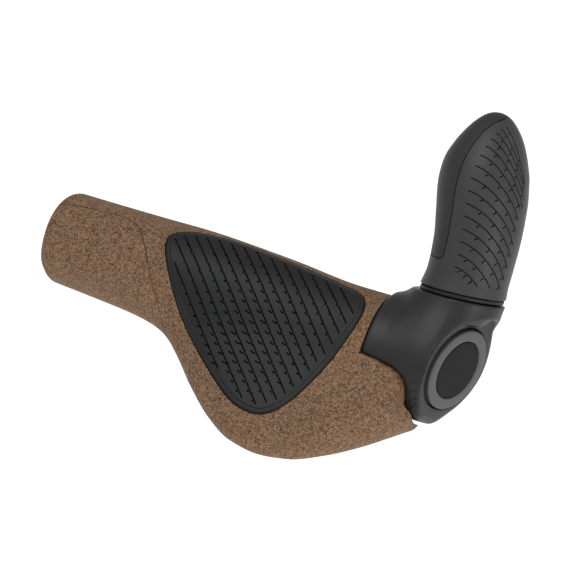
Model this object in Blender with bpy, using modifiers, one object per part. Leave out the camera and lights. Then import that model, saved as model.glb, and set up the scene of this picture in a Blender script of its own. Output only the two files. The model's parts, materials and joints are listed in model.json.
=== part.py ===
"""Ergonomic handlebar grip with a bar end, right-hand side.

Frame: the origin is on the handlebar axis at the mouth of the bore (the grip's inner end).
+X runs outward along the handlebar, +Y forward, away from the rider, and +Z up. The palm wing
reaches back towards -Y and down, and the horn of the bar end stands up and forward.
"""

import math

import bmesh
import bpy
import numpy as np
from mathutils import Matrix, Vector

MM = 0.001
GAP = 0.3 * MM                      # room between pieces that touch

# Handlebar and grip core
BAR_DIAMETER = 22.2 * MM
BORE_CLEARANCE = 0.05 * MM          # on the radius
CORE_WALL = 1.5 * MM
COLLAR_SLOT_WIDTH = 1.6 * MM
COLLAR_SLOTS = 4
WEB_THICKNESS = 3.0 * MM            # the core's stiffening web inside the wing
WEB_START = 72.0 * MM
WEB_RIM = 16.0 * MM                 # from the web's edge to the wing's tip
WEB_TO_LOBE = 3.0 * MM
COLLAR_SLOT_FLOOR = 2.0 * MM        # collar left whole beyond the slots' inner ends
COLLAR_SLOT_TURN = 0.9              # the first slot stands this many eighths of a turn past the slit

# Cork body
BODY_LENGTH = 137.0 * MM            # from the mouth to the outer end of the clamp's lobe
WING_REACH = 48.9 * MM              # from the bar axis to the wing's tip
WING_TILT = math.radians(15.0)      # the wing's plane, below horizontal
MOUTH_ROUND = 4.5 * MM              # rounding of the inner end
NECK_WALL = 1.05 * MM               # cork left under the clamp's lobe
NECK_LENGTH = 6.0 * MM
# (share of the body's length, cork over the core in mm)
CROWN = ((0.0, 2.05), (0.09, 2.45), (0.22, 3.15), (0.40, 4.15), (0.58, 3.65),
         (0.73, 2.55), (0.82, 2.95), (0.89, 3.35), (1.0, 3.75))
# (share of the body's length, share of the wing's reach)
WING = ((0.0, 0.18), (0.18, 0.20), (0.26, 0.262), (0.336, 0.378), (0.41, 0.542),
        (0.48, 0.722), (0.555, 0.883), (0.62, 0.973), (0.686, 1.0), (0.76, 0.961),
        (0.83, 0.851), (0.89, 0.716), (0.95, 0.552), (1.0, 0.41))
# (share of the body's length, radius of the wing's edge in mm)
EDGE = ((0.0, 6.0), (0.29, 7.0), (0.51, 6.2), (0.69, 6.0), (0.82, 7.5), (0.91, 9.5), (1.0, 11.0))
WING_BLEND = 7.0 * MM               # how softly the wing flows out of the round grip
WING_ROOT = 0.66                    # thickness where the wing starts, as a share of the crown
WING_LIFT = 0.9                     # how far that root sits up under the crown, as a share of the room

# Palm pad, an outline in the wing's plane
PAD_START = 41.6 * MM
PAD_TO_LOBE = 4.0 * MM              # from the pad's outer corner to the clamp's lobe
PAD_FRONT = 10.9 * MM               # how far the pad reaches in front of the bar axis
PAD_RIM = 8.8 * MM                  # from the pad to the wing's tip
PAD_PROUD = 0.6 * MM
PAD_DEPTH = 2.0 * MM
PAD_HEIGHTS = (2.5 * MM, 30.0 * MM) # a block this high over the wing's plane takes in the whole pad
PAD_FACING = 8.0 * MM               # extra length of the surfaces that face the pad
# (share from start to end, share to the front if negative, to the rear if positive)
PAD_OUTLINE = ((0.0, -0.16), (0.025, -0.48), (0.11, -0.78), (0.29, -1.0), (0.53, -0.93),
               (0.78, -0.82), (0.93, -0.61), (0.99, -0.2), (0.995, 0.12), (0.935, 0.48),
               (0.86, 0.79), (0.78, 0.96), (0.69, 1.0), (0.57, 0.94), (0.37, 0.70),
               (0.17, 0.40), (0.04, 0.12))

# Bar-end clamp
LOBE_OVERLAP = 22.7 * MM            # how far the clamp's lobe reaches back over the cork
LOBE_WALL = 3.0 * MM
COLLAR_LENGTH = 10.0 * MM           # length of the core that the clamp squeezes
WINDOW_TOP = math.radians(57.5)     # upper edge of the wing window, from +Z towards -Y
WINDOW_CORNER = 6.0 * MM
WINDOW_PAST_CORE = 0.5 * MM
TILT_RANGE = math.radians(30.0)     # how far the loosened clamp turns forward from rest
WING_BOTTOM = math.radians(152.0)   # the cork's lower limit beside the clamp
TILT_SPARE = math.radians(4.0)      # angle still open under the wing at the end of the turn
WING_PAST_WINDOW = 2.6 * MM         # the wing's end stands this far past the window, behind the drum
DRUM_STEP = 0.5 * MM                # the drum stands this proud of the lobe
DRUM_LENGTH = 8.0 * MM
DRUM_MOUTH = 2.1 * MM               # rim wall around the end cap
LOBE_FLARE = 0.03                   # the lobe widens by this slope up to the drum
DRUM_BLEND = 5.0 * MM
STUB_BLEND = 7.0 * MM
STUB_FLARE = 1.0 * MM               # the stub's foot is this much narrower each side
STUB_PROUD = 0.3 * MM               # the stub's top stands out past the rubber
STUB_HEIGHT = 6.1 * MM              # from the lobe's surface to the seam with the horn
CLAMP_MIDDLE = (16.7 * MM, 3.0 * MM, 5.0 * MM)  # from the lobe's edge: it sees all of the outside
SLIT_WIDTH = 2.0 * MM
SLIT_REACH = 22.0 * MM
SLIT_PAST_WINDOW = 12.0 * MM
SLIT_ANGLE = math.radians(-30.0)    # from +Y, in the YZ plane

# Horn
HORN_LENGTH = 56.6 * MM
HORN_LEAN = math.radians(37.4)      # from +Z towards +Y
HORN_FROM_LOBE = 20.5 * MM          # horn's centre line, outward of the lobe's edge
SEAM_SLOPE = 0.083                  # the seam rises outwards
SEAM_FADE = 20.0 * MM               # the rings above are level again from this height
RUBBER_WALL = 3.4 * MM
SPIKE_LENGTH = 45.0 * MM
SPIKE_TIP = 4.0 * MM                # rounded end of the spike
SPIKE_ROOT = 10.0 * MM              # how deep the spike reaches into the stub
TRIM_HEIGHT = 1.1 * MM
TRIM_INSET = 0.45 * MM
PANEL_WALL = 1.3 * MM
PANEL_START = 10.5 * MM             # above the seam
PANEL_END = 49.0 * MM
PANEL_HALF_ANGLE = math.radians(68.0)
HORN_MEAN_RADIUS = 12.0 * MM
# (share of the horn's length, centre's shift in X, half width, half depth, all in mm)
HORN = ((0.0, 0.0, 13.6, 12.6), (0.11, 0.2, 12.9, 12.0), (0.255, -0.2, 13.2, 12.2),
        (0.40, -1.3, 13.9, 12.7), (0.555, -2.8, 14.4, 12.9), (0.68, -3.7, 13.7, 12.2),
        (0.785, -4.0, 11.7, 10.5), (0.875, -4.1, 9.1, 8.3), (0.945, -4.3, 5.9, 5.4),
        (0.985, -4.4, 3.1, 2.9), (1.0, -4.4, 0.7, 0.7))

# End cap
CAP_OVER_CORE = 0.65 * MM           # the cap's rim, outside the core's radius
CAP_TURN = (0.95, -0.305, 0.075)    # the cap faces outward and a little to the rider
CAP_OUT = 2.4 * MM                  # the cap's rim plane, outward of the body's end
CAP_RIM = 2.2 * MM
CAP_DOME = 1.2 * MM
CAP_PLUG_RADIUS = 8.5 * MM
CAP_PLUG_LENGTH = 3.0 * MM
BADGE_RADIUS = 9.4 * MM
BADGE_SINK = 0.8 * MM
SOCKET_SPARE = 6.0 * MM             # the plug's socket runs this far past the plug, into the bore

# Pinch bolt, M5
BOLT_DIAMETER = 5.0 * MM
BOLT_LENGTH = 16.0 * MM
HEAD_DIAMETER = 8.5 * MM
HEAD_HEIGHT = 5.0 * MM
HEX_SOCKET = 4.0 * MM               # across flats
WASHER_DIAMETER = 9.6 * MM
WASHER_HEIGHT = 1.0 * MM
NUT_FLATS = 8.0 * MM
NUT_HEIGHT = 4.0 * MM
BOLT_FROM_LOBE = 10.5 * MM
BOSS_WALL = 1.6 * MM
BOSS_HALF_LENGTH = 10.5 * MM
BOSS_ROUND = 1.5 * MM
BOSS_BLEND = 3.0 * MM
BOLT_TO_BORE = 1.2 * MM             # wall between the bolt's hole and the bore
EAR = 5.0 * MM                      # from the slit's middle to the washer's seat

SPARE = 5.0 * MM                    # extra length on blanks that a flat cut trims
LONGEST_RAY = 60.0 * MM             # reaches out of the clamp from anywhere inside it

# Worked out from the above
BORE_R = BAR_DIAMETER / 2 + BORE_CLEARANCE
CORE_R = BORE_R + CORE_WALL
CORK_BORE_R = CORE_R + GAP
NECK_R = CORK_BORE_R + NECK_WALL
LOBE_R = NECK_R + GAP + LOBE_WALL
DRUM_R = LOBE_R + DRUM_STEP
LOBE_X = BODY_LENGTH - LOBE_OVERLAP
NECK_END = LOBE_X + NECK_LENGTH
CORE_END = NECK_END + COLLAR_LENGTH
WINDOW_END = CORE_END + GAP + WINDOW_PAST_CORE
WINDOW_BOTTOM = WING_BOTTOM + TILT_RANGE + TILT_SPARE
WING_END = WINDOW_END + WING_PAST_WINDOW
WING_AXIS = np.array((0.0, -math.cos(WING_TILT), -math.sin(WING_TILT)))
WING_UP = np.array((0.0, -math.sin(WING_TILT), math.cos(WING_TILT)))
HORN_AXIS = np.array((0.0, math.sin(HORN_LEAN), math.cos(HORN_LEAN)))
HORN_BACK = np.cross((1.0, 0.0, 0.0), HORN_AXIS)
HORN_X = LOBE_X + HORN_FROM_LOBE
SEAM = LOBE_R + STUB_HEIGHT
CAP_AXIS = np.array(CAP_TURN) / np.linalg.norm(CAP_TURN)
CAP_CENTRE = np.array((BODY_LENGTH + CAP_OUT, 0.6 * MM, 0.6 * MM))
CAP_R = CORE_R + CAP_OVER_CORE
RECESS_R = CAP_R + GAP
BOLT_RADIUS = BOLT_DIAMETER / 2
BOLT_HOLE_R = BOLT_RADIUS + GAP
BOLT_OUT = np.array((0.0, math.cos(SLIT_ANGLE), math.sin(SLIT_ANGLE)))
BOLT_AXIS = np.cross((1.0, 0.0, 0.0), BOLT_OUT)
BOLT_POINT = (np.array((LOBE_X + BOLT_FROM_LOBE, 0.0, 0.0))
              + BOLT_OUT * (CORE_R + GAP + BOLT_TO_BORE + BOLT_HOLE_R))
BOSS_R = WASHER_DIAMETER / 2 + GAP + BOSS_WALL
OPEN_INNER_R = 0.8 * BORE_R         # cutters that open into the bore start inside it
OPEN_OUTER_R = 3.0 * LOBE_R         # and those that open outwards end well outside


# ---------------------------------------------------------------- scene helpers

def clear_scene():
    for obj in list(bpy.data.objects):
        bpy.data.objects.remove(obj, do_unlink=True)


def collection(name):
    group = bpy.data.collections.new(name)
    bpy.context.scene.collection.children.link(group)
    return group


def material(name, colour, roughness, metallic=0.0):
    finish = bpy.data.materials.new(name)
    finish.use_nodes = True
    shader = finish.node_tree.nodes["Principled BSDF"]
    shader.inputs["Base Color"].default_value = (*colour, 1.0)
    shader.inputs["Roughness"].default_value = roughness
    shader.inputs["Metallic"].default_value = metallic
    return finish


def bmesh_object(name, shape):
    bmesh.ops.recalc_face_normals(shape, faces=shape.faces)
    mesh = bpy.data.meshes.new(name)
    shape.to_mesh(mesh)
    shape.free()
    return add_mesh(name, mesh)


def add_mesh(name, mesh):
    obj = bpy.data.objects.new(name, mesh)
    PARTS.objects.link(obj)
    return obj


def finish_part(obj, finish, parent):
    """Give a finished part its material, smooth shading and the empty that it moves with."""
    obj.data.materials.append(finish)
    obj.data.shade_smooth()
    obj.data.set_sharp_from_angle(angle=math.radians(35.0))
    obj.parent = parent
    obj.matrix_parent_inverse = parent.matrix_world.inverted()


def as_cutter(obj):
    PARTS.objects.unlink(obj)
    CUTTERS.objects.link(obj)
    obj.hide_render = True
    obj.display_type = "WIRE"
    return obj


def boolean(obj, other, operation="DIFFERENCE"):
    modifier = obj.modifiers.new(other.name, "BOOLEAN")
    modifier.operation = operation
    modifier.object = as_cutter(other)
    modifier.solver = "EXACT"


def aim(point, direction):
    """Matrix that takes local +Z to a direction, at a point."""
    turn = Vector(direction).to_track_quat("Z", "X")
    return Matrix.Translation(Vector(point)) @ turn.to_matrix().to_4x4()


def axis_empty(name, point, direction, parent=None):
    empty = bpy.data.objects.new(name, None)
    empty.matrix_world = aim(point, direction)
    empty.empty_display_size = 10 * MM
    PARTS.objects.link(empty)
    if parent:
        bpy.context.view_layer.update()
        empty.parent = parent
        empty.matrix_parent_inverse = parent.matrix_world.inverted()
    return empty


# ---------------------------------------------------------------- shape helpers

def smooth_curve(at, table):
    """Monotone cubic through a table of (place, value)."""
    place, value = np.array(table, float).T
    step = np.diff(place)
    slope = np.diff(value) / step
    product = slope[1:] * slope[:-1]
    total = slope[1:] + slope[:-1]
    inner = np.where(product > 0, 2 * product / np.where(product > 0, total, 1.0), 0.0)
    tangent = np.concatenate((slope[:1], inner, slope[-1:]))
    at = np.clip(at, place[0], place[-1])
    k = np.clip(np.searchsorted(place, at, side="right") - 1, 0, len(step) - 1)
    t = (at - place[k]) / step[k]
    return ((1 + 2 * t) * (1 - t) ** 2 * value[k] + t * (1 - t) ** 2 * step[k] * tangent[k]
            + t * t * (3 - 2 * t) * value[k + 1] + t * t * (t - 1) * step[k] * tangent[k + 1])


def blend(a, b, width):
    """Smooth minimum of two distances."""
    h = np.clip(0.5 + 0.5 * (b - a) / width, 0.0, 1.0)
    return b * (1 - h) + a * h - width * h * (1 - h)


def capsule(across, along, length, root, tip):
    """Distance to a tapered capsule that starts at the origin."""
    taper = (root - tip) / length
    slant = math.sqrt(max(1.0 - taper * taper, 1e-6))
    across = np.abs(across)
    side = slant * along - taper * across
    body = across * slant + along * taper - root
    end = np.hypot(across, along - length) - tip
    start = np.hypot(across, along) - root
    return np.where(side < 0, start, np.where(side > slant * length, end, body))


def ray_radius(distance, directions, longest, steps=40):
    """How far each direction runs from the origin before the distance turns positive."""
    low = np.zeros(directions.shape[:-1])
    high = np.full(low.shape, longest)
    for _ in range(steps):
        middle = (low + high) / 2
        inside = distance(directions * middle[..., None]) < 0
        low = np.where(inside, middle, low)
        high = np.where(inside, high, middle)
    return low


def spaced(loop, count):
    """A closed outline's points, spaced evenly along it."""
    closed = np.vstack((loop, loop[:1]))
    run = np.concatenate(((0.0,), np.cumsum(np.linalg.norm(np.diff(closed, axis=0), axis=1))))
    at = np.linspace(0.0, run[-1], count + 1)[:-1]
    return np.stack([np.interp(at, run, closed[:, k]) for k in range(closed.shape[1])], -1)


def loft(name, rings, closed=False):
    """A solid through rings of equal count, capped at both ends or closed on itself."""
    count = len(rings[0])
    points = np.concatenate(rings)
    rows = len(rings)
    faces = []
    for i in range(rows if closed else rows - 1):
        for j in range(count):
            a, b = i * count, ((i + 1) % rows) * count
            faces.append((a + j, a + (j + 1) % count, b + (j + 1) % count, b + j))
    if not closed:
        faces.append(tuple(range(count - 1, -1, -1)))
        faces.append(tuple((rows - 1) * count + j for j in range(count)))
    shape = bmesh.new()
    corners = [shape.verts.new(tuple(p)) for p in points]
    for face in faces:
        shape.faces.new([corners[k] for k in face])
    return bmesh_object(name, shape)


def cylinder(name, radius, start, direction, length, segments=48):
    """A capped cylinder from a start point along a direction."""
    direction = Vector(direction).normalized()
    shape = bmesh.new()
    bmesh.ops.create_cone(shape, cap_ends=True, segments=segments, radius1=radius, radius2=radius,
                          depth=length, matrix=Matrix.Translation((0, 0, length / 2)))
    obj = bmesh_object(name, shape)
    obj.matrix_world = aim(start, direction)
    return obj


def block(name, size, centre, x_axis, y_axis):
    """A box with its local axes along two given directions and their cross product."""
    x_axis, y_axis = Vector(x_axis).normalized(), Vector(y_axis).normalized()
    turn = Matrix((x_axis, y_axis, x_axis.cross(y_axis))).transposed().to_4x4()
    shape = bmesh.new()
    bmesh.ops.create_cube(shape, size=1.0, matrix=Matrix.Diagonal((*size, 1.0)))
    obj = bmesh_object(name, shape)
    obj.matrix_world = Matrix.Translation(Vector(centre)) @ turn
    return obj


def turned(name, profile, steps, matrix):
    """A profile of (radius, height) turned about the matrix's Z axis. An outer side runs down."""
    shape = bmesh.new()
    points = [shape.verts.new((r, 0.0, z)) for r, z in profile]
    on_axis = profile[0][0] == 0.0
    for a, b in zip(points, points[1:] if on_axis else points[1:] + points[:1]):
        shape.edges.new((a, b))
    mesh = bpy.data.meshes.new(name)
    shape.to_mesh(mesh)
    shape.free()
    obj = add_mesh(name, mesh)
    screw = obj.modifiers.new("Turn", "SCREW")
    screw.steps = screw.render_steps = steps
    screw.use_merge_vertices = True
    screw.merge_threshold = 0.00001
    obj.matrix_world = matrix
    return obj


ALONG_BAR = aim((0.0, 0.0, 0.0), (1.0, 0.0, 0.0))


# ---------------------------------------------------------------- grip surfaces

def crown_radius(x):
    return CORE_R + MM * smooth_curve(x / BODY_LENGTH, CROWN)


def grip_section(x, offset=0.0, count=54):
    """Outline of the grip across the bar, as (y, z) points, moved out by an offset."""
    share = x / BODY_LENGTH
    crown = crown_radius(x)
    reach = WING_REACH * smooth_curve(share, WING)
    edge = MM * smooth_curve(share, EDGE)
    root = WING_ROOT * crown
    lift = WING_LIFT * (crown - root)

    def distance(p):
        along = p @ WING_AXIS[1:]
        across = p @ WING_UP[1:]
        # the capsule runs from a lifted root to the wing's edge
        run = np.array((reach - edge, -lift))
        length = np.hypot(*run)
        unit = run / length
        u, v = along, across - lift
        wing = capsule(-unit[1] * u + unit[0] * v, unit[0] * u + unit[1] * v, length, root, edge)
        return blend(np.hypot(u, across) - crown, wing, WING_BLEND)

    angle = np.linspace(0.0, 2 * math.pi, 361)[:-1]
    rays = np.stack((np.cos(angle), np.sin(angle)), -1)
    loop = rays * ray_radius(distance, rays, 2 * WING_REACH)[:, None]
    loop = spaced(loop, count)
    if offset:
        tangent = np.roll(loop, -1, axis=0) - np.roll(loop, 1, axis=0)
        tangent /= np.linalg.norm(tangent, axis=1)[:, None]
        loop = loop + offset * np.stack((tangent[:, 1], -tangent[:, 0]), -1)
    return loop


def grip_rings(stations, offset=0.0, count=54):
    """Rings of the grip's outside, rounded in at the mouth."""
    rings = []
    for x in stations:
        loop = grip_section(max(x, MOUTH_ROUND), offset, count)
        if x < MOUTH_ROUND:
            inset = MOUTH_ROUND - math.sqrt(MOUTH_ROUND ** 2 - (MOUTH_ROUND - x) ** 2)
            radius = np.linalg.norm(loop, axis=1)
            loop = loop * ((radius - inset) / radius)[:, None]
        rings.append(np.column_stack((np.full(len(loop), x), loop)))
    return rings


def pad_outline(margin=0.0, per_span=3):
    """The pad's outline as world points in the wing's plane, grown by a margin."""
    pad_end = LOBE_X - PAD_TO_LOBE
    knots = [(PAD_START + u * (pad_end - PAD_START),
              v * (PAD_FRONT if v < 0 else WING_REACH - PAD_RIM)) for u, v in PAD_OUTLINE]
    knots = np.array(knots)
    loop = []
    for k in range(len(knots)):
        p0, p1, p2, p3 = (knots[(k + j - 1) % len(knots)] for j in range(4))
        for t in np.arange(per_span) / per_span:
            loop.append(0.5 * (2 * p1 + (p2 - p0) * t + (2 * p0 - 5 * p1 + 4 * p2 - p3) * t ** 2
                               + (3 * p1 - p0 - 3 * p2 + p3) * t ** 3))
    loop = np.array(loop)
    tangent = np.roll(loop, -1, axis=0) - np.roll(loop, 1, axis=0)
    tangent /= np.linalg.norm(tangent, axis=1)[:, None]
    outward = np.stack((tangent[:, 1], -tangent[:, 0]), -1)
    if (outward * (loop - loop.mean(axis=0))).sum() < 0:
        outward = -outward
    loop = loop + margin * outward
    return loop[:, :1] * np.array((1.0, 0.0, 0.0)) + loop[:, 1:] * WING_AXIS


def pad_prism(name, margin):
    """The pad's outline, extruded across the top of the wing."""
    base = pad_outline(margin)
    return loft(name, [base + WING_UP * height for height in PAD_HEIGHTS])


# ---------------------------------------------------------------- clamp and horn surfaces

def horn_frame(share):
    """Centre and half sizes of the horn at a share of its length."""
    shift, half_x, half_y = (MM * smooth_curve(share, [(row[0], row[k]) for row in HORN])
                             for k in (1, 2, 3))
    return HORN_X + shift, half_x, half_y


def horn_ring(height, angles, offset=0.0):
    """Points of the horn's outside at a height above the seam, moved out by an offset."""
    centre, half_x, half_y = horn_frame(height / HORN_LENGTH)
    half_x, half_y = max(half_x + offset, 0.3 * MM), max(half_y + offset, 0.3 * MM)
    across = half_x * np.cos(angles)
    lean = SEAM_SLOPE * max(0.0, 1.0 - height / SEAM_FADE)
    up = SEAM + height + lean * across
    return (np.stack((centre + across, 0 * across, 0 * across), -1)
            + up[:, None] * HORN_AXIS + (half_y * np.sin(angles))[:, None] * HORN_BACK)


def clamp_distance(p):
    """Implicit outside of the clamp body: lobe, drum, stub and bolt boss, blended."""
    x = p[..., 0]
    radius = np.hypot(p[..., 1], p[..., 2])
    along = np.maximum(LOBE_X - SPARE - x, x - BODY_LENGTH)
    across = radius - LOBE_R - np.clip((x - LOBE_X) * LOBE_FLARE, 0.0, DRUM_STEP)
    lobe = rounded(along, across, 1.0 * MM)

    q = p - CAP_CENTRE
    out = q @ CAP_AXIS
    spread = np.linalg.norm(q - out[..., None] * CAP_AXIS, axis=-1)
    depth = np.clip((out + DRUM_LENGTH) / (DRUM_LENGTH + 0.3 * MM), 0.0, 1.0)
    mouth = CAP_R + DRUM_MOUTH
    drum_radius = mouth + (DRUM_R - mouth) * np.sqrt(1.0 - depth ** 2)
    drum = rounded(np.maximum(out - 0.5 * MM, -out - 1.6 * DRUM_LENGTH), spread - drum_radius, 0.0)

    height = p @ HORN_AXIS
    back = p @ HORN_BACK
    side = x - HORN_X
    _, half_x, half_y = horn_frame(0.0)
    flare = np.clip((SEAM - height) / SEAM, 0.0, 1.0)
    half_x = half_x + STUB_PROUD - STUB_FLARE * flare
    stub = (np.hypot(side / half_x, back / half_y) - 1.0) * half_y
    stub = np.maximum(stub, -height)

    q = p - BOLT_POINT
    along_bolt = q @ BOLT_AXIS
    boss = np.hypot(q[..., 0], q @ BOLT_OUT) - BOSS_R
    boss = rounded(np.abs(along_bolt) - BOSS_HALF_LENGTH, boss, BOSS_ROUND)

    whole = blend(blend(lobe, drum, DRUM_BLEND), stub, STUB_BLEND)
    return np.maximum(blend(whole, boss, BOSS_BLEND), height - SEAM - SPARE)


def rounded(along, across, radius):
    """Distance to a cylinder's rounded rim, from distances along and across it."""
    along, across = along + radius, across + radius
    return (np.hypot(np.maximum(along, 0.0), np.maximum(across, 0.0))
            + np.minimum(np.maximum(along, across), 0.0) - radius)


def sector(name, angles, start, ends, inner, outer):
    """A ring's sector round the bar, in angles from +Z towards -Y, with an end for each angle."""
    rings = []
    for angle, end in zip(angles, ends):
        out = np.array((0.0, -math.sin(angle), math.cos(angle)))
        along = np.array((1.0, 0.0, 0.0))
        rings.append(np.array((start * along + inner * out, end * along + inner * out,
                               end * along + outer * out, start * along + outer * out)))
    return loft(name, rings)


def swept_radius():
    """How far from the bar axis the clamp reaches as it turns past the end of the wing."""
    angles = np.linspace(WINDOW_TOP, WING_BOTTOM + TILT_RANGE, 40)
    out = np.stack((0 * angles, -np.sin(angles), np.cos(angles)), -1)
    return max(ray_radius(lambda p: clamp_distance(p + (x, 0.0, 0.0)), out, LONGEST_RAY).max()
               for x in np.linspace(WINDOW_END, BODY_LENGTH, 12))


def window(name, clearance, bottom):
    """The clamp's window for the wing: a sector round the bar with one rounded corner."""
    top = WINDOW_TOP + clearance / LOBE_R
    corner = WINDOW_CORNER * (1 - np.cos(np.linspace(0.0, math.pi / 2, 7)))
    rest = np.linspace(top + WINDOW_CORNER / LOBE_R, bottom, 14)[1:]
    angles = np.concatenate((top + corner / LOBE_R, rest))
    rise = np.sqrt(np.maximum(WINDOW_CORNER ** 2 - (WINDOW_CORNER - corner) ** 2, 0.0))
    ends = WINDOW_END - clearance - WINDOW_CORNER + np.concatenate((rise, rest * 0 + WINDOW_CORNER))
    return sector(name, angles, LOBE_X - 2 * SPARE, ends, OPEN_INNER_R, OPEN_OUTER_R)


# ---------------------------------------------------------------- parts

def make_grip_core(finish, parent):
    profile = [(CORE_R, CORE_END), (CORE_R, 0.0), (BORE_R, 0.0), (BORE_R, CORE_END)]
    core = turned("grip_core", profile, 64, ALONG_BAR)
    boolean(core, web_block("core_web", 0.0), "UNION")
    for k in range(COLLAR_SLOTS):
        angle = SLIT_ANGLE + math.pi * (2 * k + COLLAR_SLOT_TURN) / COLLAR_SLOTS
        out = np.array((0.0, math.cos(angle), math.sin(angle)))
        reach = CORE_R - BORE_R + SPARE
        length = COLLAR_LENGTH - COLLAR_SLOT_FLOOR
        slot = block(f"collar_slot_{k}", (2 * length, reach, COLLAR_SLOT_WIDTH),
                     np.array((CORE_END, 0, 0)) + out * (BORE_R + CORE_R) / 2, (1, 0, 0), out)
        boolean(core, slot)
    finish_part(core, finish, parent)


def web_block(name, margin):
    """The core's web in the wing's plane, grown by a margin."""
    start, end = WEB_START - margin, LOBE_X - WEB_TO_LOBE + margin
    inner, outer = (BORE_R + CORE_R) / 2, WING_REACH - WEB_RIM + margin
    centre = np.array(((start + end) / 2, 0, 0)) + WING_AXIS * (inner + outer) / 2
    size = (end - start, outer - inner, WEB_THICKNESS + 2 * margin)
    return block(name, size, centre, (1, 0, 0), WING_AXIS)


def make_cork_body(finish, parent):
    mouth = MOUTH_ROUND * (1 - np.cos(np.linspace(0.0, math.pi / 2, 6)))[1:]
    stations = np.concatenate(((0.02 * MM,), mouth, np.linspace(MOUTH_ROUND, BODY_LENGTH, 31)[1:]))
    cork = loft("cork_body", grip_rings(stations))
    boolean(cork, cylinder("cork_bore_cutter", CORK_BORE_R, (-SPARE, 0, 0), (1, 0, 0),
                           BODY_LENGTH + 3 * SPARE, 64))
    boolean(cork, web_block("web_pocket_cutter", GAP))

    # the clamp's room: all beyond the lobe's edge but the neck, less what the window shows
    far = BODY_LENGTH + 2 * SPARE
    room = turned("clamp_room_cutter",
                  [(2 * LOBE_R, far), (2 * LOBE_R, LOBE_X - GAP), (NECK_R, LOBE_X - GAP),
                   (NECK_R, NECK_END - GAP), (OPEN_INNER_R, NECK_END - GAP), (OPEN_INNER_R, far)],
                  64, ALONG_BAR)
    boolean(room, window("window_keep", GAP, WING_BOTTOM))
    beside = np.linspace(WINDOW_TOP + 2 * GAP / LOBE_R, WING_BOTTOM - GAP / LOBE_R, 14)
    boolean(room, sector("wing_end_keep", beside, NECK_END, beside * 0 + WING_END,
                         swept_radius() + GAP, OPEN_OUTER_R + SPARE))
    boolean(cork, room)

    recess = pad_prism("pad_recess_cutter", GAP)
    stations = np.linspace(PAD_START - PAD_FACING, LOBE_X, 21)
    floor = loft("pad_floor", grip_rings(stations, -PAD_DEPTH - GAP))
    boolean(recess, floor)
    boolean(cork, recess)
    finish_part(cork, finish, parent)


def make_palm_pad(finish, parent):
    pad = pad_prism("palm_pad", 0.0)
    stations = np.linspace(PAD_START - PAD_FACING, LOBE_X, 21)
    boolean(pad, loft("pad_top", grip_rings(stations, PAD_PROUD)), "INTERSECT")
    boolean(pad, loft("pad_underside", grip_rings(stations, -PAD_DEPTH)))
    finish_part(pad, finish, parent)


def clamp_blank():
    """The clamp's outside as one closed shape, cast out from a point in its middle."""
    centre = np.array((LOBE_X, 0.0, 0.0)) + CLAMP_MIDDLE
    rows, count = 36, 60
    pole = np.linspace(0.0, math.pi, rows + 1)[1:-1]
    turn = np.linspace(0.0, 2 * math.pi, count + 1)[:-1]
    pole, turn = np.meshgrid(pole, turn, indexing="ij")
    rays = np.stack((-np.cos(pole), np.sin(pole) * np.cos(turn), np.sin(pole) * np.sin(turn)), -1)
    radius = ray_radius(lambda p: clamp_distance(p + centre), rays, LONGEST_RAY)
    return loft("clamp_body", list(centre + rays * radius[..., None]))


def rounded_spike(name, margin, rows, segments):
    """The horn's core from inside the stub to its rounded tip, grown by a margin."""
    angles = np.linspace(0.0, 2 * math.pi, segments + 1)[:-1]
    heights = np.linspace(-SPIKE_ROOT, SPIKE_LENGTH - SPIKE_TIP, rows)
    tips = SPIKE_LENGTH + margin - SPIKE_TIP * (1 - np.sin(np.linspace(0.0, math.pi / 2, 5)))[1:]
    return loft(name, [horn_ring(h, angles, margin - RUBBER_WALL) for h in (*heights, *tips)])


def cut_for_bar(clamp):
    """The neck's and collar's bores, the flat face at the lobe's edge and the wing's window."""
    bore = NECK_R + GAP
    collar = CORE_R + GAP
    end = CORE_END + GAP
    start = LOBE_X - 4 * SPARE
    profile = [(0.0, end), (collar, end), (collar, NECK_END), (bore, NECK_END), (bore, LOBE_X),
               (OPEN_OUTER_R, LOBE_X), (OPEN_OUTER_R, start), (0.0, start)]
    boolean(clamp, turned("clamp_bore_cutter", profile, 64, ALONG_BAR))
    boolean(clamp, window("window_cutter", 0.0, WINDOW_BOTTOM))


def cut_for_cap(clamp):
    """The recess for the end cap, and the socket for its plug, open into the bore."""
    floor = CAP_CENTRE - CAP_AXIS * (CAP_RIM + GAP)
    boolean(clamp, cylinder("cap_recess_cutter", RECESS_R, floor, CAP_AXIS, 4 * SPARE, 64))
    plug_start = CAP_CENTRE - CAP_AXIS * (CAP_RIM + CAP_PLUG_LENGTH + SOCKET_SPARE)
    boolean(clamp, cylinder("plug_socket_cutter", CAP_PLUG_RADIUS + GAP, plug_start, CAP_AXIS,
                            2 * SOCKET_SPARE, 48))


def cut_for_bolt(clamp):
    """The pinch slit, the bolt's hole, and the pockets for its head and its nut."""
    length = WINDOW_END + SLIT_PAST_WINDOW - LOBE_X
    middle = np.array((LOBE_X + length / 2, 0, 0)) + BOLT_OUT * (BORE_R + SLIT_REACH / 2)
    boolean(clamp, block("slit_cutter", (length + 2 * SPARE, SLIT_REACH, SLIT_WIDTH), middle,
                         (1, 0, 0), BOLT_OUT))
    boolean(clamp, cylinder("bolt_hole_cutter", BOLT_HOLE_R, BOLT_POINT - BOLT_AXIS * 4 * SPARE,
                            BOLT_AXIS, 7 * SPARE, 32))
    boolean(clamp, cylinder("head_cutter", WASHER_DIAMETER / 2 + GAP, BOLT_POINT - BOLT_AXIS * EAR,
                            -BOLT_AXIS, 4 * SPARE, 40))
    boolean(clamp, cylinder("nut_cutter", (NUT_FLATS / 2 + GAP) / math.cos(math.pi / 6),
                            BOLT_POINT + BOLT_AXIS * EAR, BOLT_AXIS, 4 * SPARE, 6))


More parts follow.
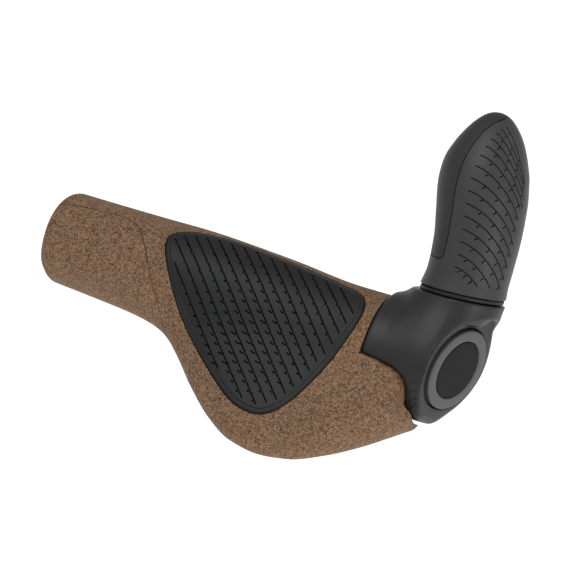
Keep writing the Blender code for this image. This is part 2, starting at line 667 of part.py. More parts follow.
def make_clamp_body(finish, parent):
    clamp = clamp_blank()
    seam_normal = HORN_AXIS - (SEAM_SLOPE, 0.0, 0.0)
    stub_top = np.array((HORN_X, 0.0, 0.0)) + HORN_AXIS * (SEAM - TRIM_HEIGHT / 2 - GAP)
    boolean(clamp, cylinder("stub_top_cutter", 2 * LOBE_R, stub_top, seam_normal, 6 * SPARE))
    boolean(clamp, rounded_spike("horn_spike", 0.0, 10, 32), "UNION")
    cut_for_bar(clamp)
    cut_for_cap(clamp)
    cut_for_bolt(clamp)
    finish_part(clamp, finish, parent)


def make_trim_ring(finish, parent):
    angles = np.linspace(0.0, 2 * math.pi, 49)[:-1]
    low, high = -TRIM_HEIGHT / 2, TRIM_HEIGHT / 2
    rings = [horn_ring(low, angles, -TRIM_INSET), horn_ring(high, angles, -TRIM_INSET),
             horn_ring(high, angles, GAP - RUBBER_WALL), horn_ring(low, angles, GAP - RUBBER_WALL)]
    finish_part(loft("trim_ring", rings, closed=True), finish, parent)


def make_horn_sleeve(finish, parent):
    angles = np.linspace(0.0, 2 * math.pi, 49)[:-1]
    start = TRIM_HEIGHT / 2 + GAP
    shoulder = 0.68                 # share of the horn's length where its rounded end begins
    lower = np.linspace(start, shoulder * HORN_LENGTH, 13)
    rise = np.sin(np.linspace(0.0, math.pi / 2, 10))[1:]
    upper = HORN_LENGTH * (shoulder + (1 - shoulder) * rise)
    sleeve = loft("horn_sleeve", [horn_ring(h, angles) for h in np.concatenate((lower, upper))])
    boolean(sleeve, rounded_spike("spike_socket_cutter", GAP, 9, 32))
    boolean(sleeve, panel_patch("panel_recess_cutter", GAP, -PANEL_WALL - GAP, 2 * MM))
    finish_part(sleeve, finish, parent)


def panel_patch(name, margin, inner, outer):
    """A patch of the horn's inward side, between two offsets from its surface."""
    heights = np.linspace(PANEL_START - margin, PANEL_END + margin, 12)
    half = PANEL_HALF_ANGLE + margin / HORN_MEAN_RADIUS
    angles = np.linspace(math.pi - half, math.pi + half, 13)
    rings = []
    for height in heights:
        face = horn_ring(height, angles, outer)
        back = horn_ring(height, angles[::-1], inner)
        rings.append(np.vstack((face, back)))
    return loft(name, rings)


def make_thumb_panel(finish, parent):
    finish_part(panel_patch("thumb_panel", 0.0, -PANEL_WALL, 0.0), finish, parent)


def make_end_cap(finish, parent):
    edge = [(CAP_R - CAP_DOME * (1 - math.sin(a)), CAP_DOME * math.cos(a))
            for a in np.linspace(0.0, math.pi / 2, 5)]
    profile = [(0.0, CAP_DOME), *edge, (CAP_R, -CAP_RIM), (CAP_PLUG_RADIUS, -CAP_RIM),
               (CAP_PLUG_RADIUS, -CAP_RIM - CAP_PLUG_LENGTH), (0.0, -CAP_RIM - CAP_PLUG_LENGTH)]
    cap = turned("end_cap", profile, 48, aim(CAP_CENTRE, CAP_AXIS))
    boolean(cap, cylinder("badge_recess_cutter", BADGE_RADIUS + GAP,
                          CAP_CENTRE + CAP_AXIS * (CAP_DOME - BADGE_SINK - GAP), CAP_AXIS, 5 * MM, 48))
    finish_part(cap, finish, parent)


def make_cap_badge(finish, parent):
    badge = cylinder("cap_badge", BADGE_RADIUS, CAP_CENTRE + CAP_AXIS * (CAP_DOME - BADGE_SINK),
                     CAP_AXIS, BADGE_SINK, 48)
    finish_part(badge, finish, parent)


def make_bolt(steel, parent):
    """Socket-head bolt: the head's underside rests on the washer."""
    seat = BOLT_POINT - BOLT_AXIS * (EAR + GAP + WASHER_HEIGHT + GAP)
    profile = [(0.0, HEAD_HEIGHT), (HEAD_DIAMETER / 2, HEAD_HEIGHT), (HEAD_DIAMETER / 2, 0.0),
               (BOLT_RADIUS, 0.0), (BOLT_RADIUS, -BOLT_LENGTH), (0.0, -BOLT_LENGTH)]
    bolt = turned("clamp_bolt", profile, 32, aim(seat, -BOLT_AXIS))
    boolean(bolt, cylinder("hex_socket_cutter", HEX_SOCKET / 2 / math.cos(math.pi / 6),
                           seat - BOLT_AXIS * (HEAD_HEIGHT / 2), -BOLT_AXIS, HEAD_HEIGHT, 6))
    finish_part(bolt, steel, parent)


def make_washer(steel, parent):
    seat = BOLT_POINT - BOLT_AXIS * (EAR + GAP)
    inner, outer = BOLT_HOLE_R, WASHER_DIAMETER / 2
    profile = [(outer, WASHER_HEIGHT), (outer, 0.0), (inner, 0.0), (inner, WASHER_HEIGHT)]
    washer = turned("bolt_washer", profile, 32, aim(seat, -BOLT_AXIS))
    finish_part(washer, steel, parent)


def make_nut(steel, parent):
    start = BOLT_POINT + BOLT_AXIS * (EAR + GAP)
    nut = cylinder("clamp_nut", NUT_FLATS / 2 / math.cos(math.pi / 6), start, BOLT_AXIS, NUT_HEIGHT, 6)
    boolean(nut, cylinder("nut_thread_cutter", BOLT_HOLE_R, start - BOLT_AXIS * MM, BOLT_AXIS,
                          NUT_HEIGHT + 2 * MM, 32))
    finish_part(nut, steel, parent)


def build():
    grip = axis_empty("grip_axis", (0, 0, 0), (1, 0, 0))
    bar_end = axis_empty("bar_end_axis", (LOBE_X, 0, 0), (1, 0, 0), grip)
    bolt = axis_empty("bolt_axis", BOLT_POINT, -BOLT_AXIS, bar_end)
    cap = axis_empty("cap_axis", CAP_CENTRE, CAP_AXIS, bar_end)
    bpy.context.view_layer.update()

    cork = material("cork", (0.27, 0.15, 0.08), 0.85)
    nylon = material("nylon", (0.03, 0.03, 0.03), 0.5)
    pad_rubber = material("pad_rubber", (0.03, 0.034, 0.036), 0.6)
    clamp_resin = material("clamp_resin", (0.05, 0.05, 0.05), 0.5)
    horn_rubber = material("horn_rubber", (0.055, 0.055, 0.053), 0.6)
    panel_rubber = material("panel_rubber", (0.05, 0.05, 0.05), 0.5)
    trim_black = material("trim_black", (0.02, 0.02, 0.02), 0.5)
    cap_grey = material("cap_grey", (0.1, 0.1, 0.1), 0.45)
    badge_black = material("badge_black", (0.03, 0.03, 0.03), 0.4)
    steel = material("steel", (0.08, 0.08, 0.085), 0.35, 1.0)

    make_grip_core(nylon, grip)
    make_cork_body(cork, grip)
    make_palm_pad(pad_rubber, grip)
    make_clamp_body(clamp_resin, bar_end)
    make_trim_ring(trim_black, bar_end)
    make_horn_sleeve(horn_rubber, bar_end)
    make_thumb_panel(panel_rubber, bar_end)
    make_nut(steel, bar_end)
    make_washer(steel, bolt)
    make_bolt(steel, bolt)
    make_end_cap(cap_grey, cap)
    make_cap_badge(badge_black, cap)


clear_scene()
PARTS = collection("bar_end_grip")
CUTTERS = collection("cutters")
build()
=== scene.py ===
"""Looks of a right-hand winged handlebar grip with a bar end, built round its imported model."""
import json
import math

import bmesh
import bpy
import numpy as np
from mathutils import Matrix, Vector


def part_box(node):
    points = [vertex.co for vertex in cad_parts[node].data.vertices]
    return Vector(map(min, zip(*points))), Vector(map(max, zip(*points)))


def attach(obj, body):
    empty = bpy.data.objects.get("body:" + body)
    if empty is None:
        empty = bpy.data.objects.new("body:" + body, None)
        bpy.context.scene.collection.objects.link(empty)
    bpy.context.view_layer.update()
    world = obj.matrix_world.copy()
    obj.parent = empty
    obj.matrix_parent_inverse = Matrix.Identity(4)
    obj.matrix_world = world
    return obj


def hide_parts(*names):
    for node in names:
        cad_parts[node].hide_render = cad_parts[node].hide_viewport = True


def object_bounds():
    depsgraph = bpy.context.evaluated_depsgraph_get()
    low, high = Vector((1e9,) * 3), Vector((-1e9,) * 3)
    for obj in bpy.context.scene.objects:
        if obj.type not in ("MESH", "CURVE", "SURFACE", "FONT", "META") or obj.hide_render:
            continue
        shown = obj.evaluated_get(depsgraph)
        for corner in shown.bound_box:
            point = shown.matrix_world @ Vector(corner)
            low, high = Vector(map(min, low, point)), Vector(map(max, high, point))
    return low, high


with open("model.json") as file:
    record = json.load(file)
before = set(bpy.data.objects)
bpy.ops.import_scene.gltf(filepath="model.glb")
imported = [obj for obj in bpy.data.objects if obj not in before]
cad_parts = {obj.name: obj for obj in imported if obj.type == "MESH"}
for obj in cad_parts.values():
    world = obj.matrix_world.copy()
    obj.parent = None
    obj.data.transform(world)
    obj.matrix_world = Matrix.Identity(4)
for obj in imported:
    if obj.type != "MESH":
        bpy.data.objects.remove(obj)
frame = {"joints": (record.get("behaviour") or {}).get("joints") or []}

CAD_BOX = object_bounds()
MM = 0.001
GAP = 0.3 * MM                      # room between pieces that touch
ALONG = np.array((1.0, 0.0, 0.0))   # the handlebar's direction, outward


def joint(name):
    return next(j for j in frame["joints"] if j["name"] == name)


# ------------------------------------------------------------------ sizes
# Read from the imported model
CORE_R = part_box("grip_core")[1].z
CORE_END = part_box("grip_core")[1].x
BODY_LENGTH = 137.0 * MM            # from the mouth to the outer end of the clamp's lobe
LOBE_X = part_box("clamp_body")[0].x
BOLT_POINT = np.array(joint("bolt_turn")["pos_m"])
BOLT_AXIS = -np.array(joint("bolt_turn")["axis"])
CAP_AXIS = np.array(joint("cap_pull")["axis"])
PAD_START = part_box("palm_pad")[0].x
PAD_END = LOBE_X - 4.0 * MM

# Bore and core
BORE_R = 11.15 * MM
SKIN = -0.06 * MM                   # keeps the smooth skins inside the flat-sided solids' box
NECK_R = CORE_R + GAP + 1.05 * MM
NECK_END = LOBE_X + 6.0 * MM
CORE_CHAMFER = 0.35 * MM
SLOTS = 4
SLOT_SIZE = (16.0 * MM, 6.5 * MM, 1.6 * MM)

# Cork body
WING_REACH = 48.9 * MM
WING_TILT = math.radians(15.0)
WING_BLEND = 7.0 * MM
WING_ROOT = 0.66
WING_LIFT = 0.9
MOUTH_ROUND = 4.5 * MM
CROWN = ((0.0, 2.05), (0.09, 2.45), (0.22, 3.15), (0.40, 4.15), (0.58, 3.65),
         (0.73, 2.55), (0.82, 2.95), (0.89, 3.35), (1.0, 3.75))
WING = ((0.0, 0.18), (0.18, 0.20), (0.26, 0.262), (0.336, 0.378), (0.41, 0.542),
        (0.48, 0.722), (0.555, 0.883), (0.62, 0.973), (0.686, 1.0), (0.76, 0.961),
        (0.83, 0.851), (0.89, 0.716), (0.95, 0.552), (1.0, 0.41))
EDGE = ((0.0, 6.0), (0.29, 7.0), (0.51, 6.2), (0.69, 6.0), (0.82, 7.5), (0.91, 9.5), (1.0, 11.0))
WEB = (72.0 * MM, LOBE_X - 3.0 * MM)
WEB_THICKNESS = 3.0 * MM
WEB_RIM = 16.0 * MM
# the mould's parting line: (mm from the mouth, degrees from +Z towards -Y)
PARTING = ((0.3, 7), (14.0, 0), (23.0, -2), (30.0, 5), (35.0, 22), (40.0, 47), (47.0, 87),
           (53.0, 118))
PARTING_WIDTH = 0.42 * MM
PARTING_DEPTH = 0.9 * MM

# Palm pad
PAD_FRONT = 10.9 * MM
PAD_REACH = WING_REACH - 8.8 * MM
PAD_PROUD = 0.6 * MM
PAD_DEPTH = 2.0 * MM
PAD_RIM_ROUND = 0.7 * MM
PAD_STEP = 0.28 * MM                # the field stands this far over the rim band
PAD_STEP_AT = (1.15 * MM, 1.65 * MM)
PAD_OUTLINE = ((0.0, -0.16), (0.025, -0.48), (0.11, -0.78), (0.29, -1.0), (0.53, -0.93),
               (0.78, -0.82), (0.93, -0.61), (0.99, -0.2), (0.995, 0.12), (0.935, 0.48),
               (0.86, 0.79), (0.78, 0.96), (0.69, 1.0), (0.57, 0.94), (0.37, 0.70),
               (0.17, 0.40), (0.04, 0.12))
SIPE_TURN = math.radians(43.3)      # the pad's grooves, from the bar's direction
SIPE_FIRST = -28.7 * MM
SIPE_PITCH = 3.13 * MM
SIPE_COUNT = 16
SIPE_INSET = 2.3 * MM
SIPE_WIDTH = 0.5 * MM
SIPE_DEPTH = 1.7 * MM
TICK_PITCH = 3.5 * MM
TICK_SHORT = 0.6 * MM
TICK_LONG = 1.9 * MM                # what the longest tick has over the shortest
TICK_CENTRE = (81.0 * MM, 19.0 * MM)
TICK_SPREAD = 13.0 * MM

# Clamp
LOBE_R = NECK_R + GAP + 3.0 * MM
WING_CLEAR = 3.0 * LOBE_R           # a radius beyond the wing's edge
DRUM_STEP = 0.5 * MM
DRUM_R = LOBE_R + DRUM_STEP
DRUM_LENGTH = 8.0 * MM
DRUM_MOUTH = 1.7 * MM
DISH = 0.09 * MM                    # rise of the hollow round the cap, times the cubed distance
DRUM_LIP = 0.25 * MM                # how far the drum's mouth stands past the cap's seat
WINDOW_TOP = math.radians(56.5)
WINDOW_SLOPE = math.radians(0.35) / MM      # the window's upper edge falls away outwards
WING_BOTTOM = math.radians(152.0)    # the wing meets the clamp from the window's top to here
WINDOW_BOTTOM = math.radians(186.0)
WINDOW_CORNER = 6.5 * MM
CORNER_STEPS = 13
WINDOW_END = CORE_END + GAP + 0.5 * MM
WING_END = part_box("cork_body")[1].x
WING_END_TURN = (math.radians(84.0), math.radians(100.0))   # over these angles its end runs out
LIP = 0.7 * MM                      # rounding of the clamp's open edges
STUB_SHIFT = 2.4 * MM               # how far the stub leans inward by the bar
SLIT_WIDTH = 2.0 * MM
SLIT_END = WINDOW_END + 12.0 * MM
BOLT_R = 2.5 * MM
BOLT_HOLE_R = BOLT_R + GAP
BOLT_LENGTH = 16.0 * MM
BOLT_PITCH = 0.8 * MM
HEAD_R = 4.25 * MM
HEAD_HEIGHT = 5.0 * MM
HEX_FLATS = 4.0 * MM
WASHER_R = 4.8 * MM
WASHER_HEIGHT = 1.0 * MM
NUT_FLATS = 8.0 * MM
NUT_HEIGHT = 4.0 * MM
EAR = 5.0 * MM
BOSS_R = WASHER_R + GAP + 1.6 * MM
BOSS_HALF_LENGTH = 10.5 * MM
CLAMP_CELL = 0.45 * MM

# Angle marks on the drum
MARK_COUNT = 4
MARK_START = 0.9 * MM               # past the window's outer end
MARK_SHIFT = 0.35 * MM              # each mark starts this much further out
MARK_LENGTH = 3.0 * MM
MARK_ANGLE = 68.5                   # degrees from +Z towards -Y
MARK_PITCH = 11.3
MARK_TURN = 2.3                     # degrees that the first mark turns forward along its length
MARK_WIDTH = 0.5 * MM
MARK_HEIGHT = 0.5 * MM

# Horn
HORN_LENGTH = 56.4 * MM
HORN_LEAN = math.radians(37.4)
HORN_X = LOBE_X + 20.5 * MM
SEAM = LOBE_R + 6.1 * MM            # where the horn's rubber starts, from the bar's axis
SEAM_SLOPE = 0.083
SEAM_FADE = 20.0 * MM
RUBBER_WALL = 3.4 * MM
SPIKE_LENGTH = 45.0 * MM
TRIM_HEIGHT = 1.1 * MM
TRIM_INSET = 0.45 * MM
HORN = ((0.0, 0.0, 13.6, 12.6), (0.11, 0.2, 12.9, 12.0), (0.255, -0.2, 13.2, 12.2),
        (0.40, -1.3, 13.9, 12.7), (0.555, -2.8, 14.4, 12.9), (0.68, -3.7, 13.7, 12.2),
        (0.785, -4.0, 11.7, 10.5), (0.875, -4.1, 9.1, 8.3), (0.945, -4.3, 6.1, 5.6),
        (0.985, -4.4, 3.3, 3.1), (1.0, -4.4, 0.0, 0.0))
PANEL_WALL = 1.3 * MM
PANEL_GAP = 0.28 * MM
PANEL_BOTTOM = 9.3 * MM
PANEL_CORNER = 1.6 * MM
# the panel's edge: (mm above the seam, degrees round the horn)
PANEL_EDGE = ((12.0, 118), (24.7, 113), (37.0, 110), (42.9, 109), (48.8, 104), (53.0, 90),
              (55.1, 58), (56.2, 30))
# where the horn's grooves start: (mm above the seam, degrees round the horn)
GROOVE_STARTS = ((8.7, 96), (24.0, 94), (35.6, 93), (42.7, 89), (48.5, 81), (52.3, 64), (53.4, 44))
GROOVE_FIRST = 8.7 * MM
GROOVE_PITCH = 3.87 * MM
GROOVE_EVEN = 8                     # this many pitches are even, and each one above is shorter by
GROOVE_CLOSING = 0.47 * MM
GROOVE_COUNT = 15
GROOVE_DROP = 12.5 * MM
GROOVE_END = math.radians(18.0)
GROOVE_END_HIGH = math.radians(12.0)
GROOVE_LOW_COUNT = 10               # the grooves above these run further round
TICK_SHARES = (0.27, 0.5, 0.72, 0.93)
TICK_BEND = math.radians(4.0)
GROOVE_LOWEST = 4.0 * MM
GROOVE_BEND = 1.85
GROOVE_WIDTH = 0.42 * MM
GROOVE_DEPTH = 1.3 * MM

# End cap
CAP_DOME = 1.2 * MM
CAP_R = CORE_R + 0.65 * MM
CAP_ROUND = 0.55 * MM
CAP_RIM = 2.2 * MM
CAP_PLUG_R = 8.5 * MM
CAP_PLUG_LENGTH = 3.0 * MM
BADGE_R = 9.4 * MM
BADGE_SINK = 0.8 * MM

# Studio
FLOOR_DROP = 0.22                   # metres below the object, so that its shadow is faint
FLOOR_GLOW = 0.52                   # the floor is a light table, so that it stays white
WORLD_LIGHT = 0.4
KEY_LIGHT = 5.0
SIDE_LIGHT = 3.2
RIM_LIGHT = 2.0

WING_AXIS = np.array((0.0, -math.cos(WING_TILT), -math.sin(WING_TILT)))
WING_UP = np.array((0.0, -math.sin(WING_TILT), math.cos(WING_TILT)))
HORN_AXIS = np.array((0.0, math.sin(HORN_LEAN), math.cos(HORN_LEAN)))
HORN_BACK = np.cross(ALONG, HORN_AXIS)
BOLT_OUT = np.cross(BOLT_AXIS, ALONG)
BADGE_CENTRE = np.array(sum(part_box("cap_badge"), Vector())) / 2
CAP_CENTRE = BADGE_CENTRE - CAP_AXIS * (CAP_DOME - BADGE_SINK / 2)


# ------------------------------------------------------------------ curves and distances

def smooth_curve(at, table, column=1):
    """Monotone cubic through a table whose first column is the place."""
    place = np.array([row[0] for row in table], float)
    value = np.array([row[column] for row in table], float)
    step = np.diff(place)
    slope = np.diff(value) / step
    product = slope[1:] * slope[:-1]
    total = slope[1:] + slope[:-1]
    inner = np.where(product > 0, 2 * product / np.where(product > 0, total, 1.0), 0.0)
    tangent = np.concatenate((slope[:1], inner, slope[-1:]))
    at = np.clip(at, place[0], place[-1])
    k = np.clip(np.searchsorted(place, at, side="right") - 1, 0, len(step) - 1)
    t = (at - place[k]) / step[k]
    return ((1 + 2 * t) * (1 - t) ** 2 * value[k] + t * (1 - t) ** 2 * step[k] * tangent[k]
            + t * t * (3 - 2 * t) * value[k + 1] + t * t * (t - 1) * step[k] * tangent[k + 1])


def ease(value, low, high):
    """Smooth step from 0 at low to 1 at high."""
    t = np.clip((value - low) / (high - low), 0.0, 1.0)
    return t * t * (3 - 2 * t)


def union(a, b, width=0.0):
    """Smaller of two distances, filleted over a width."""
    if width == 0.0:
        return np.minimum(a, b)
    h = np.clip(0.5 + 0.5 * (b - a) / width, 0.0, 1.0)
    return b * (1 - h) + a * h - width * h * (1 - h)


def minus(a, b, width=0.0):
    """Distance a with b cut out of it, the edge rounded over a width."""
    return -union(-a, b, width)


def rounded(along, across, radius):
    """Distance to a cylinder's rounded rim, from distances along and across it."""
    along, across = along + radius, across + radius
    return (np.hypot(np.maximum(along, 0.0), np.maximum(across, 0.0))
            + np.minimum(np.maximum(along, across), 0.0) - radius)


def solve(distance, low, high, steps=26):
    """Place between low and high where a distance turns positive."""
    for _ in range(steps):
        middle = (low + high) / 2
        inside = distance(middle) < 0
        low = np.where(inside, middle, low)
        high = np.where(inside, high, middle)
    return low


def grip_distance(x, along, up):
    """Distance to the grip's outside, from places along the bar, along the wing and across it."""
    share = x / BODY_LENGTH
    crown = CORE_R + MM * smooth_curve(share, CROWN)
    reach = WING_REACH * smooth_curve(share, WING)
    edge = MM * smooth_curve(share, EDGE)
    root = WING_ROOT * crown
    lift = WING_LIFT * (crown - root)
    length = np.hypot(reach - edge, lift)
    run, fall = (reach - edge) / length, -lift / length
    t = run * along + fall * (up - lift)
    across = np.abs(run * (up - lift) - fall * along)
    taper = (root - edge) / length
    slant = np.sqrt(np.maximum(1.0 - taper * taper, 1e-6))
    side = slant * t - taper * across
    start = np.hypot(across, t) - root
    end = np.hypot(across, t - length) - edge
    body = across * slant + t * taper - root
    wing = np.where(side < 0, start, np.where(side > slant * length, end, body))
    return union(np.hypot(along, up) - crown, wing, WING_BLEND)


def grip_height(x, along, offset=0.0):
    """How far the top of the grip stands over the wing's plane, moved out by an offset."""
    low = np.full(np.shape(x), 2.0 * MM)
    return solve(lambda up: grip_distance(x, along, up) - offset, low, low + 24.0 * MM)


def grip_point(x, along, offset=0.0):
    """Points on top of the grip."""
    x, along = np.broadcast_arrays(np.asarray(x, float), np.asarray(along, float))
    up = grip_height(x, along, offset)
    return x[..., None] * ALONG + along[..., None] * WING_AXIS + up[..., None] * WING_UP


def grip_normal(x, along):
    """Outward directions on top of the grip."""
    step = 0.2 * MM
    a = grip_point(x + step, along) - grip_point(x - step, along)
    b = grip_point(x, along + step) - grip_point(x, along - step)
    normal = np.cross(a, b)
    normal *= np.sign(normal @ WING_UP)[..., None]
    return normal / np.linalg.norm(normal, axis=-1, keepdims=True)


def horn_size(height, offset=0.0):
    """Centre and half sizes of the horn at a height above its seam."""
    share = np.asarray(height) / HORN_LENGTH
    squares = [(row[0], row[1], row[2] ** 2, row[3] ** 2) for row in HORN]
    centre = HORN_X + MM * smooth_curve(share, squares, 1)
    half_x = MM * np.sqrt(smooth_curve(share, squares, 2))
    half_y = MM * np.sqrt(smooth_curve(share, squares, 3))
    return centre, np.maximum(half_x + offset, 0.0), np.maximum(half_y + offset, 0.0)


def horn_point(height, angle, offset=0.0):
    """Points of the horn's outside, moved in or out by an offset."""
    height, angle = np.broadcast_arrays(np.asarray(height, float), np.asarray(angle, float))
    centre, half_x, half_y = horn_size(height, offset)
    across = half_x * np.cos(angle)
    lean = SEAM_SLOPE * np.maximum(0.0, 1.0 - height / SEAM_FADE)
    up = SEAM + height + lean * across
    return ((centre + across)[..., None] * ALONG + up[..., None] * HORN_AXIS
            + (half_y * np.sin(angle))[..., None] * HORN_BACK)


def horn_normal(height, angle):
    """Outward directions on the horn."""
    step, turn = 0.2 * MM, 0.02
    a = horn_point(height + step, angle) - horn_point(height - step, angle)
    b = horn_point(height, angle + turn) - horn_point(height, angle - turn)
    normal = np.cross(b, a)
    centre = horn_point(height, angle, -5.0 * MM)
    normal *= np.sign(((horn_point(height, angle) - centre) * normal).sum(-1))[..., None]
    return normal / np.linalg.norm(normal, axis=-1, keepdims=True)


# ------------------------------------------------------------------ mesh helpers

def add_object(name, mesh):
    obj = bpy.data.objects.new(name, mesh)
    bpy.context.scene.collection.objects.link(obj)
    return obj


def add_mesh(name, points, faces, edges=()):
    mesh = bpy.data.meshes.new(name)
    mesh.from_pydata(np.asarray(points).tolist(), list(edges), faces)
    mesh.validate()
    return add_object(name, mesh)


def face_out(obj):
    shape = bmesh.new()
    shape.from_mesh(obj.data)
    bmesh.ops.recalc_face_normals(shape, faces=shape.faces)
    if shape.calc_volume(signed=True) < 0:
        bmesh.ops.reverse_faces(shape, faces=shape.faces)
    shape.to_mesh(obj.data)
    shape.free()
    return obj


def loft(name, rings, closed=False, tip=None):
    """A solid through rings of equal count, with flat ends, a pointed tip or closed on itself."""
    rows, count = len(rings), len(rings[0])
    points = np.concatenate(rings)
    faces = []
    for i in range(rows if closed else rows - 1):
        a, b = i * count, ((i + 1) % rows) * count
        faces += [(a + j, a + (j + 1) % count, b + (j + 1) % count, b + j) for j in range(count)]
    last = (rows - 1) * count
    if not closed:
        faces.append(tuple(range(count - 1, -1, -1)))
    if not closed and tip is None:
        faces.append(tuple(last + j for j in range(count)))
    if tip is not None:
        points = np.vstack((points, tip))
        faces += [(last + j, last + (j + 1) % count, len(points) - 1) for j in range(count)]
    return face_out(add_mesh(name, points, faces))


def aim(point, direction):
    """Matrix that takes local +Z to a direction, at a point."""
    turn = Vector(direction).to_track_quat("Z", "X")
    return Matrix.Translation(Vector(point)) @ turn.to_matrix().to_4x4()


def turned(name, profile, matrix, steps=128):
    """A closed profile of (radius, height) points turned about the matrix's Z axis."""
    angles = np.linspace(0.0, 2 * math.pi, steps + 1)[:-1]
    radius, height = np.array(profile, float).T
    rings = [np.stack((r * np.cos(angles), r * np.sin(angles), np.full(steps, z)), -1)
             for r, z in zip(np.maximum(radius, 1e-6), height)]
    obj = loft(name, rings, closed=radius[0] > 0 and radius[-1] > 0)
    obj.data.transform(matrix)
    return obj


def cylinder(name, radius, start, direction, length, steps=96):
    """A capped cylinder, or a prism with few steps, from a start point along a direction."""
    angles = np.linspace(0.0, 2 * math.pi, steps + 1)[:-1] + math.pi / 2
    ring = radius * np.stack((np.cos(angles), np.sin(angles), 0 * angles), -1)
    obj = loft(name, [ring, ring + (0.0, 0.0, length)])
    obj.data.transform(aim(start, direction))
    return obj


def block(name, size, centre, x_axis, y_axis):
    """A box with its local axes along two given directions and their cross product."""
    x_axis, y_axis = Vector(x_axis).normalized(), Vector(y_axis).normalized()
    turn = Matrix((x_axis, y_axis, x_axis.cross(y_axis))).transposed().to_4x4()
    shape = bmesh.new()
    bmesh.ops.create_cube(shape, size=1.0, matrix=Matrix.Diagonal((*size, 1.0)))
    shape.transform(Matrix.Translation(Vector(centre)) @ turn)
    mesh = bpy.data.meshes.new(name)
    shape.to_mesh(mesh)
    shape.free()
    return face_out(add_object(name, mesh))


def settle(obj):
    """Apply an object's modifiers to its mesh."""
    graph = bpy.context.evaluated_depsgraph_get()
    mesh = bpy.data.meshes.new_from_object(obj.evaluated_get(graph))
    obj.modifiers.clear()
    obj.data = mesh
    return obj


def combine(obj, other, operation="DIFFERENCE"):
    """Cut, join or intersect with another closed mesh, which is used up."""
    modifier = obj.modifiers.new(other.name, "BOOLEAN")
    modifier.operation = operation
    modifier.object = other
    modifier.solver = "MANIFOLD"
    settle(obj)
    bpy.data.objects.remove(other)
    return obj


def smooth(obj, degrees=32.0):
    obj.data.shade_smooth()
    obj.data.set_sharp_from_angle(angle=math.radians(degrees))
    return obj


def arc(centre, radius, start, end, count=6):
    """Points of a quarter or other arc in a profile, in degrees."""
    angle = np.radians(np.linspace(start, end, count))
    return [(centre[0] + radius * math.cos(a), centre[1] + radius * math.sin(a)) for a in angle]


# ------------------------------------------------------------------ swept bars

def new_tree(name, inputs):
    tree = bpy.data.node_groups.new(name, "GeometryNodeTree")
    tree.interface.new_socket(name="Geometry", in_out="OUTPUT", socket_type="NodeSocketGeometry")
    for label, kind in inputs:
        tree.interface.new_socket(name=label, in_out="INPUT", socket_type="NodeSocket" + kind)
    return tree


def tree_node(tree, kind, settings=None, values=None):
    """Add a node, with its settings first and then its sockets' values or links."""
    node = tree.nodes.new(kind)
    for key, value in (settings or {}).items():
        setattr(node, key, value)
    for key, value in (values or {}).items():
        if isinstance(value, bpy.types.NodeSocket):
            tree.links.new(value, node.inputs[key])
        else:
            node.inputs[key].default_value = value
    return node


def swept_bar_tree():
    """Lines of a mesh become bars of an oval section that stands along each point's lift."""
    tree = new_tree("swept_bar", (("Geometry", "Geometry"), ("Width", "Float"), ("Depth", "Float"),
                                  ("Sides", "Int"), ("Finish", "Material")))
    given = tree.nodes.new("NodeGroupInput").outputs
    lift = tree_node(tree, "GeometryNodeInputNamedAttribute", {"data_type": "FLOAT_VECTOR"},
                     {"Name": "lift"}).outputs["Attribute"]
    line = tree_node(tree, "GeometryNodeMeshToCurve", None, {"Mesh": given["Geometry"]})
    line = tree_node(tree, "GeometryNodeSetCurveNormal", {"mode": "FREE"},
                     {"Curve": line.outputs["Curve"], "Normal": lift})
    circle = tree_node(tree, "GeometryNodeCurvePrimitiveCircle", None,
                       {"Resolution": given["Sides"], "Radius": 0.5})
    scale = tree_node(tree, "ShaderNodeCombineXYZ", None,
                      {"X": given["Depth"], "Y": given["Width"], "Z": 1.0})
    section = tree_node(tree, "GeometryNodeTransform", None,
                        {"Geometry": circle.outputs["Curve"], "Scale": scale.outputs[0]})
    bar = tree_node(tree, "GeometryNodeCurveToMesh", None,
                    {"Curve": line.outputs["Curve"], "Profile Curve": section.outputs["Geometry"],
                     "Fill Caps": True})
    whole = tree_node(tree, "GeometryNodeRealizeInstances", None, {"Geometry": bar.outputs["Mesh"]})
    done = tree_node(tree, "GeometryNodeSetMaterial", None,
                     {"Geometry": whole.outputs["Geometry"], "Material": given["Finish"]})
    tree_node(tree, "NodeGroupOutput", None, {"Geometry": done.outputs["Geometry"]})
    return tree


def grow(obj, tree, **inputs):
    """Run a node tree on an object, with its inputs by name, and keep the plain mesh."""
    modifier = obj.modifiers.new(tree.name, "NODES")
    modifier.node_group = tree
    for item in tree.interface.items_tree:
        label = item.name.lower().replace(" ", "_")
        if item.in_out == "INPUT" and label in inputs:
            modifier[item.identifier] = inputs[label]
    return settle(obj)


def swept_bars(name, lines, width, depth, finish, sides=10):
    """Bars along several lines of points, each a pair of arrays: places and lifts."""
    points = np.concatenate([line[0] for line in lines])
    lifts = np.concatenate([line[1] for line in lines])
    edges, start = [], 0
    for places, _ in lines:
        edges += [(start + k, start + k + 1) for k in range(len(places) - 1)]
        start += len(places)
    obj = add_mesh(name, points, [], edges)
    lift = obj.data.attributes.new("lift", "FLOAT_VECTOR", "POINT")
    lift.data.foreach_set("vector", lifts.astype(np.float32).ravel())
    grow(obj, SWEPT_BAR, width=width, depth=depth, sides=sides, finish=finish)
    return face_out(obj)


# ------------------------------------------------------------------ skins of distances

